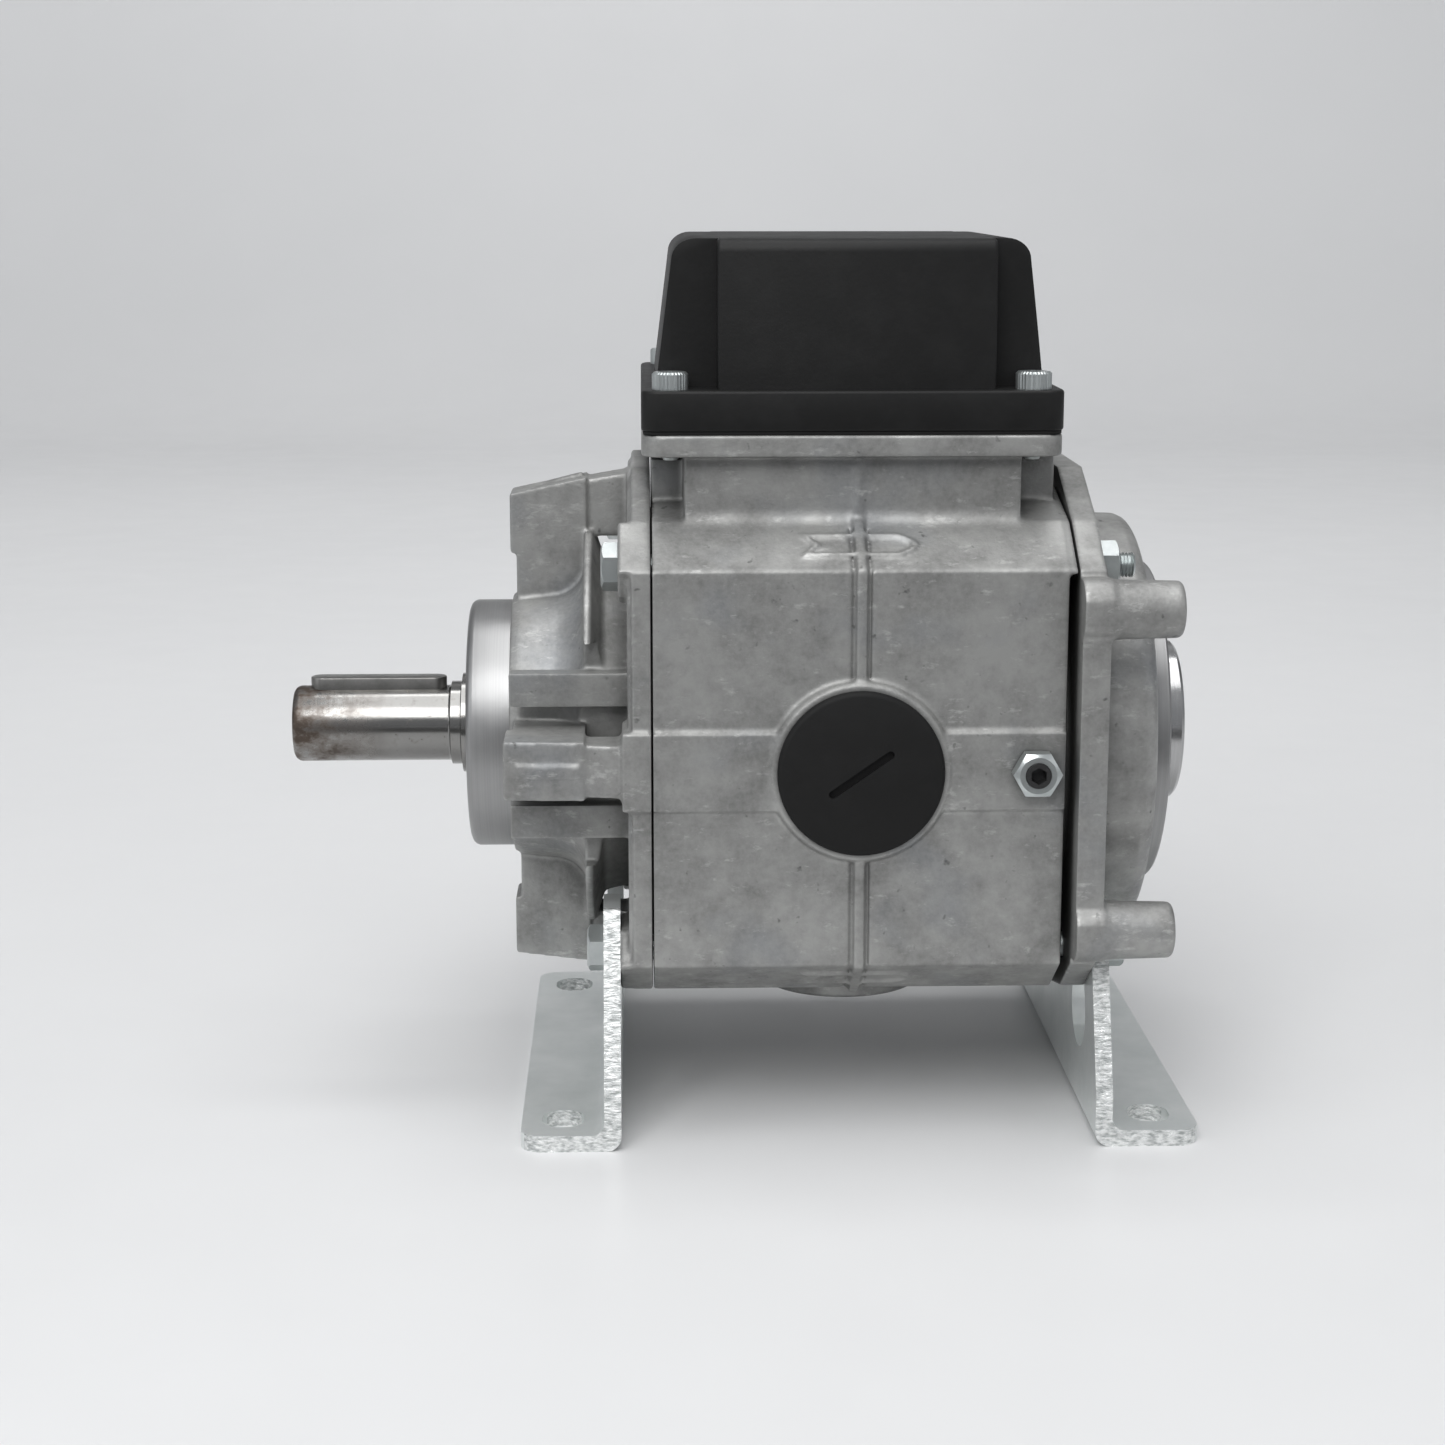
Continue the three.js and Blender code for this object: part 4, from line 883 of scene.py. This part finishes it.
# ---------------------------------------------------------------- feet
def foot(node, name, direction):
    """A bent sheet foot with its holes, slots and arch, its base running out in the direction."""
    low, high = limits(node)
    half = high.y
    top_half = 52
    floor = low.z
    top = -34
    wall = low.x if direction > 0 else high.x
    out = high.x if direction > 0 else low.x
    inside = wall + direction * SHEET
    outer_bend = 3.6
    inner_bend = 3
    shape = (
        [(-half, floor + 3), (half, floor + 3), (half, floor + 12)]
        + arc(top_half - 5, top - 5, 5, 12, 90, 8) + arc(5 - top_half, top - 5, 5, 90, 168, 8)
        + [(-half, floor + 12)]
    )
    wall_sheet = prism(shape, min(wall, inside), max(wall, inside))
    base = prism(rounded(min(wall, out), max(wall, out), -half, half, 5), floor, floor + SHEET, "Z")
    fillet = [(inside - direction, floor + 1), (inside - direction, floor + SHEET + inner_bend)]
    for i in range(7):
        t = math.radians(90 - 90 * i / 6)
        x = inside + direction * (inner_bend - inner_bend * math.sin(t))
        fillet.append((x, floor + SHEET + inner_bend - inner_bend * math.cos(t)))
    fillet.append((inside + direction * inner_bend, floor + 1))
    gusset = prism(fillet, -half, half, "Y")
    square = block(wall, inside, -half, half, floor, floor + SHEET)
    corner = [(wall - direction, floor - 1), (wall - direction, floor + outer_bend)]
    for i in range(9):
        t = math.radians(90 * i / 8)
        x = wall + direction * outer_bend * (1 - math.cos(t))
        corner.append((x, floor + outer_bend * (1 - math.sin(t))))
    corner.append((wall + direction * outer_bend, floor - 1))
    slot_x = (inside + out) / 2
    body = joined(wall_sheet, base, gusset, square)
    body = cut(
        body,
        prism(corner, -half - 1, half + 1, "Y"),
        rod("X", 0, 0, BORE, wall - 10, wall + 10, ROUND),
        block(wall - 10, wall + 10, -9, 9, -67, 0),
        *[prism(rounded(slot_x - 5, slot_x + 5, side * 54.5 - 6, side * 54.5 + 6, 4.95), -95, -80, "Z")
          for side in (-1, 1)],
        *[
            rod("X", side * BOLT_OFFSET, -BOLT_OFFSET, BOLT_HOLE, wall - 10, wall + 10)
            for side in (-1, 1)
        ],
        *[rod("X", side * 38, -64, 10, wall - 10, wall + 10, 64) for side in (-1, 1)],
    )
    body = bevelled(body, 0.35, 2, 50)
    body.data.materials.clear()
    body.data.materials.append(ZINC)
    body.data.materials.append(SHEARED)
    for face in body.data.polygons:
        y = abs(face.center.y)
        facing = abs(face.normal.y)
        outside = y > half - 0.2 or (facing > 0.9 and y > top_half - 1)
        slanted = facing > 0.6 and y > top_half - 6
        face.material_index = 1 if outside or slanted else 0
    finish_piece(body, name, "casing", ZINC, [node], 40)


# ---------------------------------------------------------------- shafts
def output_shaft():
    """The stepped output shaft with its key seat."""
    left = SHAFT_LOW.x
    right = SHAFT_HIGH.x
    body = turned([
        (left + 3, 0), (left, 2.2), (left, 8.3), (left + 0.35, 8.9), (left + 0.9, 9.3),
        (left + 1.6, 9.5), (-71.9, 9.5), (-71.6, 9.7), (-71.3, 10.5), (-68.9, 10.5),
        (-68.7, 10.8), (-68.5, 12.5), (-45.25, 12.5), (-45.25, 15.5), (-41, 15.5), (-41, 12),
        (40, 12), (40, 8.5), (right - 0.6, 8.5), (right, 7.9), (right, 0),
    ])
    low, high = limits("output_key")
    play = 0.05
    outline = rounded(
        low.x - play, high.x + play, low.y - play, high.y + play, (high.y - low.y) / 2,
    )
    body = cut(body, prism(outline, low.z - play, 14, "Z"))
    finish_piece(body, "output_shaft_turned", "output_rotor", SHAFT, ["output_shaft"], 28)


def output_key():
    """The round-ended key on the output shaft."""
    low, high = limits("output_key")
    outline = rounded(low.x, high.x, low.y, high.y, (high.y - low.y) / 2 - 0.02, 10)
    key = bevelled(prism(outline, low.z, high.z, "Z"), 0.35, 2, 50)
    finish_piece(key, "output_key_ground", "output_rotor", KEY_STEEL, ["output_key"], 40)


def shaft_seal():
    """The rubber ring between the nose and the output shaft."""
    low, high = limits("output_shaft_seal")
    outer = (high.z - low.z) / 2
    inner = 12.65
    seal = turned([
        (low.x, outer), (low.x, outer - 1.6), (low.x + 0.5, outer - 2), (low.x + 0.5, inner + 1.4),
        (low.x, inner + 0.8), (low.x + 0.3, inner), (high.x, inner), (high.x, outer),
    ], ring=True)
    finish_piece(seal, "output_shaft_seal_lip", "casing", RUBBER, ["output_shaft_seal"])


def input_hub():
    """The polished hollow hub with its keyway."""
    x1 = HUB_RIGHT
    body = turned([
        (41, 12), (41, 16), (58, 16), (58, 22.5), (70.15, 22.5), (70.15, 20), (x1 - 0.8, 20), (x1, 19.2),
        (x1, 10.6), (x1 - 1, 9.55), (60, 9.55), (60, 12),
    ], ring=True)
    body = cut(body, block(61, x1 + 2, -3, 3, 5, 12.3))
    finish_piece(body, "input_hub_turned", "input_rotor", HUB, ["input_hub"], 28)


def entry_plug():
    """The plug in the unused cable entry at the rear of the lid, with a screwdriver slot."""
    low, high = limits("cable_entry_plug")
    x = (low.x + high.x) / 2
    z = (low.z + high.z) / 2
    rear = high.y
    body = turned([
        (low.y, 0), (low.y, 7.6), (rear - 4, 7.9), (rear - 4, 10.5), (rear - 0.8, 10.5),
        (rear - 0.2, 10.1), (rear, 9.4), (rear, 7), (rear - 0.8, 6.6), (rear - 0.8, 0),
    ], "Y", (x, z))
    body = cut(body, block(x - 6, x + 6, rear - 2.2, rear + 1, z - 0.9, z + 0.9))
    finish_piece(body, "cable_entry_plug_cap", "casing", LID, ["cable_entry_plug"])


# ---------------------------------------------------------------- object
housing()
end_shield()
input_end()
lid()
for number, (sx, sy) in enumerate(QUADRANTS, 1):
    lid_screw(number, LID_CENTRE + sx * LID_SCREW_X, sy * LID_SCREW_Y)
    through_bolt(number, sx, sy)
plug(-1, "inspection_plug_front")
plug(1, "inspection_plug_rear")
adjuster()
foot("foot_bracket_output", "foot_output_sheet", -1)
foot("foot_bracket_input", "foot_input_sheet", 1)
output_shaft()
output_key()
shaft_seal()
input_hub()
entry_plug()

for entry in frame["record"]["subparts"]:
    node_mesh = frame["nodes"][entry["node"]].data
    node_mesh.materials.clear()
    node_mesh.materials.append(SLOT_LOOKS[entry["material_slot"]])


# ---------------------------------------------------------------- camera, light and floor
def backdrop():
    """A pale floor that curves up into a wall far behind the object."""
    bm = bmesh.new()
    bend = 0.8
    start = 1.6
    profile = [(-4, 0), (start, 0)]
    for i in range(1, 13):
        t = math.radians(90 * i / 12)
        profile.append((start + bend * math.sin(t), bend - bend * math.cos(t)))
    profile.append((start + bend, 4))
    rows = [[bm.verts.new((x, y, z)) for x in (-5, 5)] for y, z in profile]
    for one, two in zip(rows, rows[1:]):
        bm.faces.new((one[0], one[1], two[1], two[0]))
    floor = keep(bm)
    floor.name = "backdrop"
    for face in floor.data.polygons:
        if face.normal.z < 0:
            face.flip()
    floor.data.shade_smooth()
    made, tree, surface = shader("pale_paper", 0, Specular_IOR_Level=0.4)
    cloud = remap(tree, noise(tree, 2.2, 3), 0.3, 0.7)
    tone = mixed(tree, cloud, (0.68, 0.682, 0.684, 1), (0.71, 0.711, 0.712, 1))
    link(tree, tone, surface.inputs["Base Color"])
    link(tree, remap(tree, noise(tree, 30, 4), 0.3, 0.7, 0.34, 0.44), surface.inputs["Roughness"])
    floor.data.materials.append(made)


def lamp(name, place, target, size, power, colour=(1, 1, 1)):
    """A square soft light of this size in metres and power in watts, aimed at the target."""
    data = bpy.data.lights.new(name, "AREA")
    data.size = size
    data.energy = power
    data.color = colour
    made = bpy.data.objects.new(name, data)
    made.location = place
    made.rotation_euler = (Vector(target) - Vector(place)).to_track_quat("-Z", "Y").to_euler()
    bpy.context.scene.collection.objects.link(made)


def dark_card():
    """A dark card on the floor in front of the object: only its reflection shows."""
    bm = bmesh.new()
    side, near, far, height = 0.7, -1.1, -0.26, 0.001
    outline = [(-side, near), (side, near), (side, far), (-side, far)]
    bm.faces.new([bm.verts.new((x, y, height)) for x, y in outline])
    card = keep(bm)
    card.name = "dark_card"
    made, tree, surface = shader("dark_card", 0)
    link(tree, mixed(tree, noise(tree, 5), grey(0.02), grey(0.03)), surface.inputs["Base Color"])
    card.data.materials.append(made)
    card.visible_camera = False


def lighting():
    """Soft daylight from above and in front, with one light on the wall."""
    world = bpy.data.worlds.new("studio")
    world.use_nodes = True
    sky = world.node_tree.nodes["Background"]
    sky.inputs["Color"].default_value = (0.93, 0.955, 1, 1)
    sky.inputs["Strength"].default_value = 0.38
    bpy.context.scene.world = world
    bpy.context.scene.view_settings.view_transform = "Standard"
    middle = (0.02, 0, 0.1)
    lamp("overhead", (0.0, -0.25, 1.35), middle, 1.0, 8)
    lamp("front_key", (-0.25, -0.95, 0.95), middle, 0.7, 8.5)
    lamp("left_window", (-1.7, -0.9, 0.9), middle, 1.2, 6, (0.97, 0.985, 1))
    lamp("right_fill", (1.6, -1.1, 0.8), middle, 1.2, 3)
    lamp("wall_wash", (0, 0.5, 1.9), (0, 2.3, 1.0), 1.2, 23)


def camera():
    """The photo's view: from the front, a little above and a little to the left."""
    data = bpy.data.cameras.new("view")
    data.lens = 66.6
    data.sensor_width = 36
    made = bpy.data.objects.new("view", data)
    made.location = (-0.0231, -0.6638, 0.2246)
    pitch = math.radians(11.5)
    yaw = math.radians(1.72)
    level = math.cos(pitch)
    aim = Vector((math.sin(yaw) * level, math.cos(yaw) * level, -math.sin(pitch)))
    made.rotation_euler = aim.to_track_quat("-Z", "Y").to_euler()
    bpy.context.scene.collection.objects.link(made)
    bpy.context.scene.camera = made


backdrop()
dark_card()
lighting()
camera()
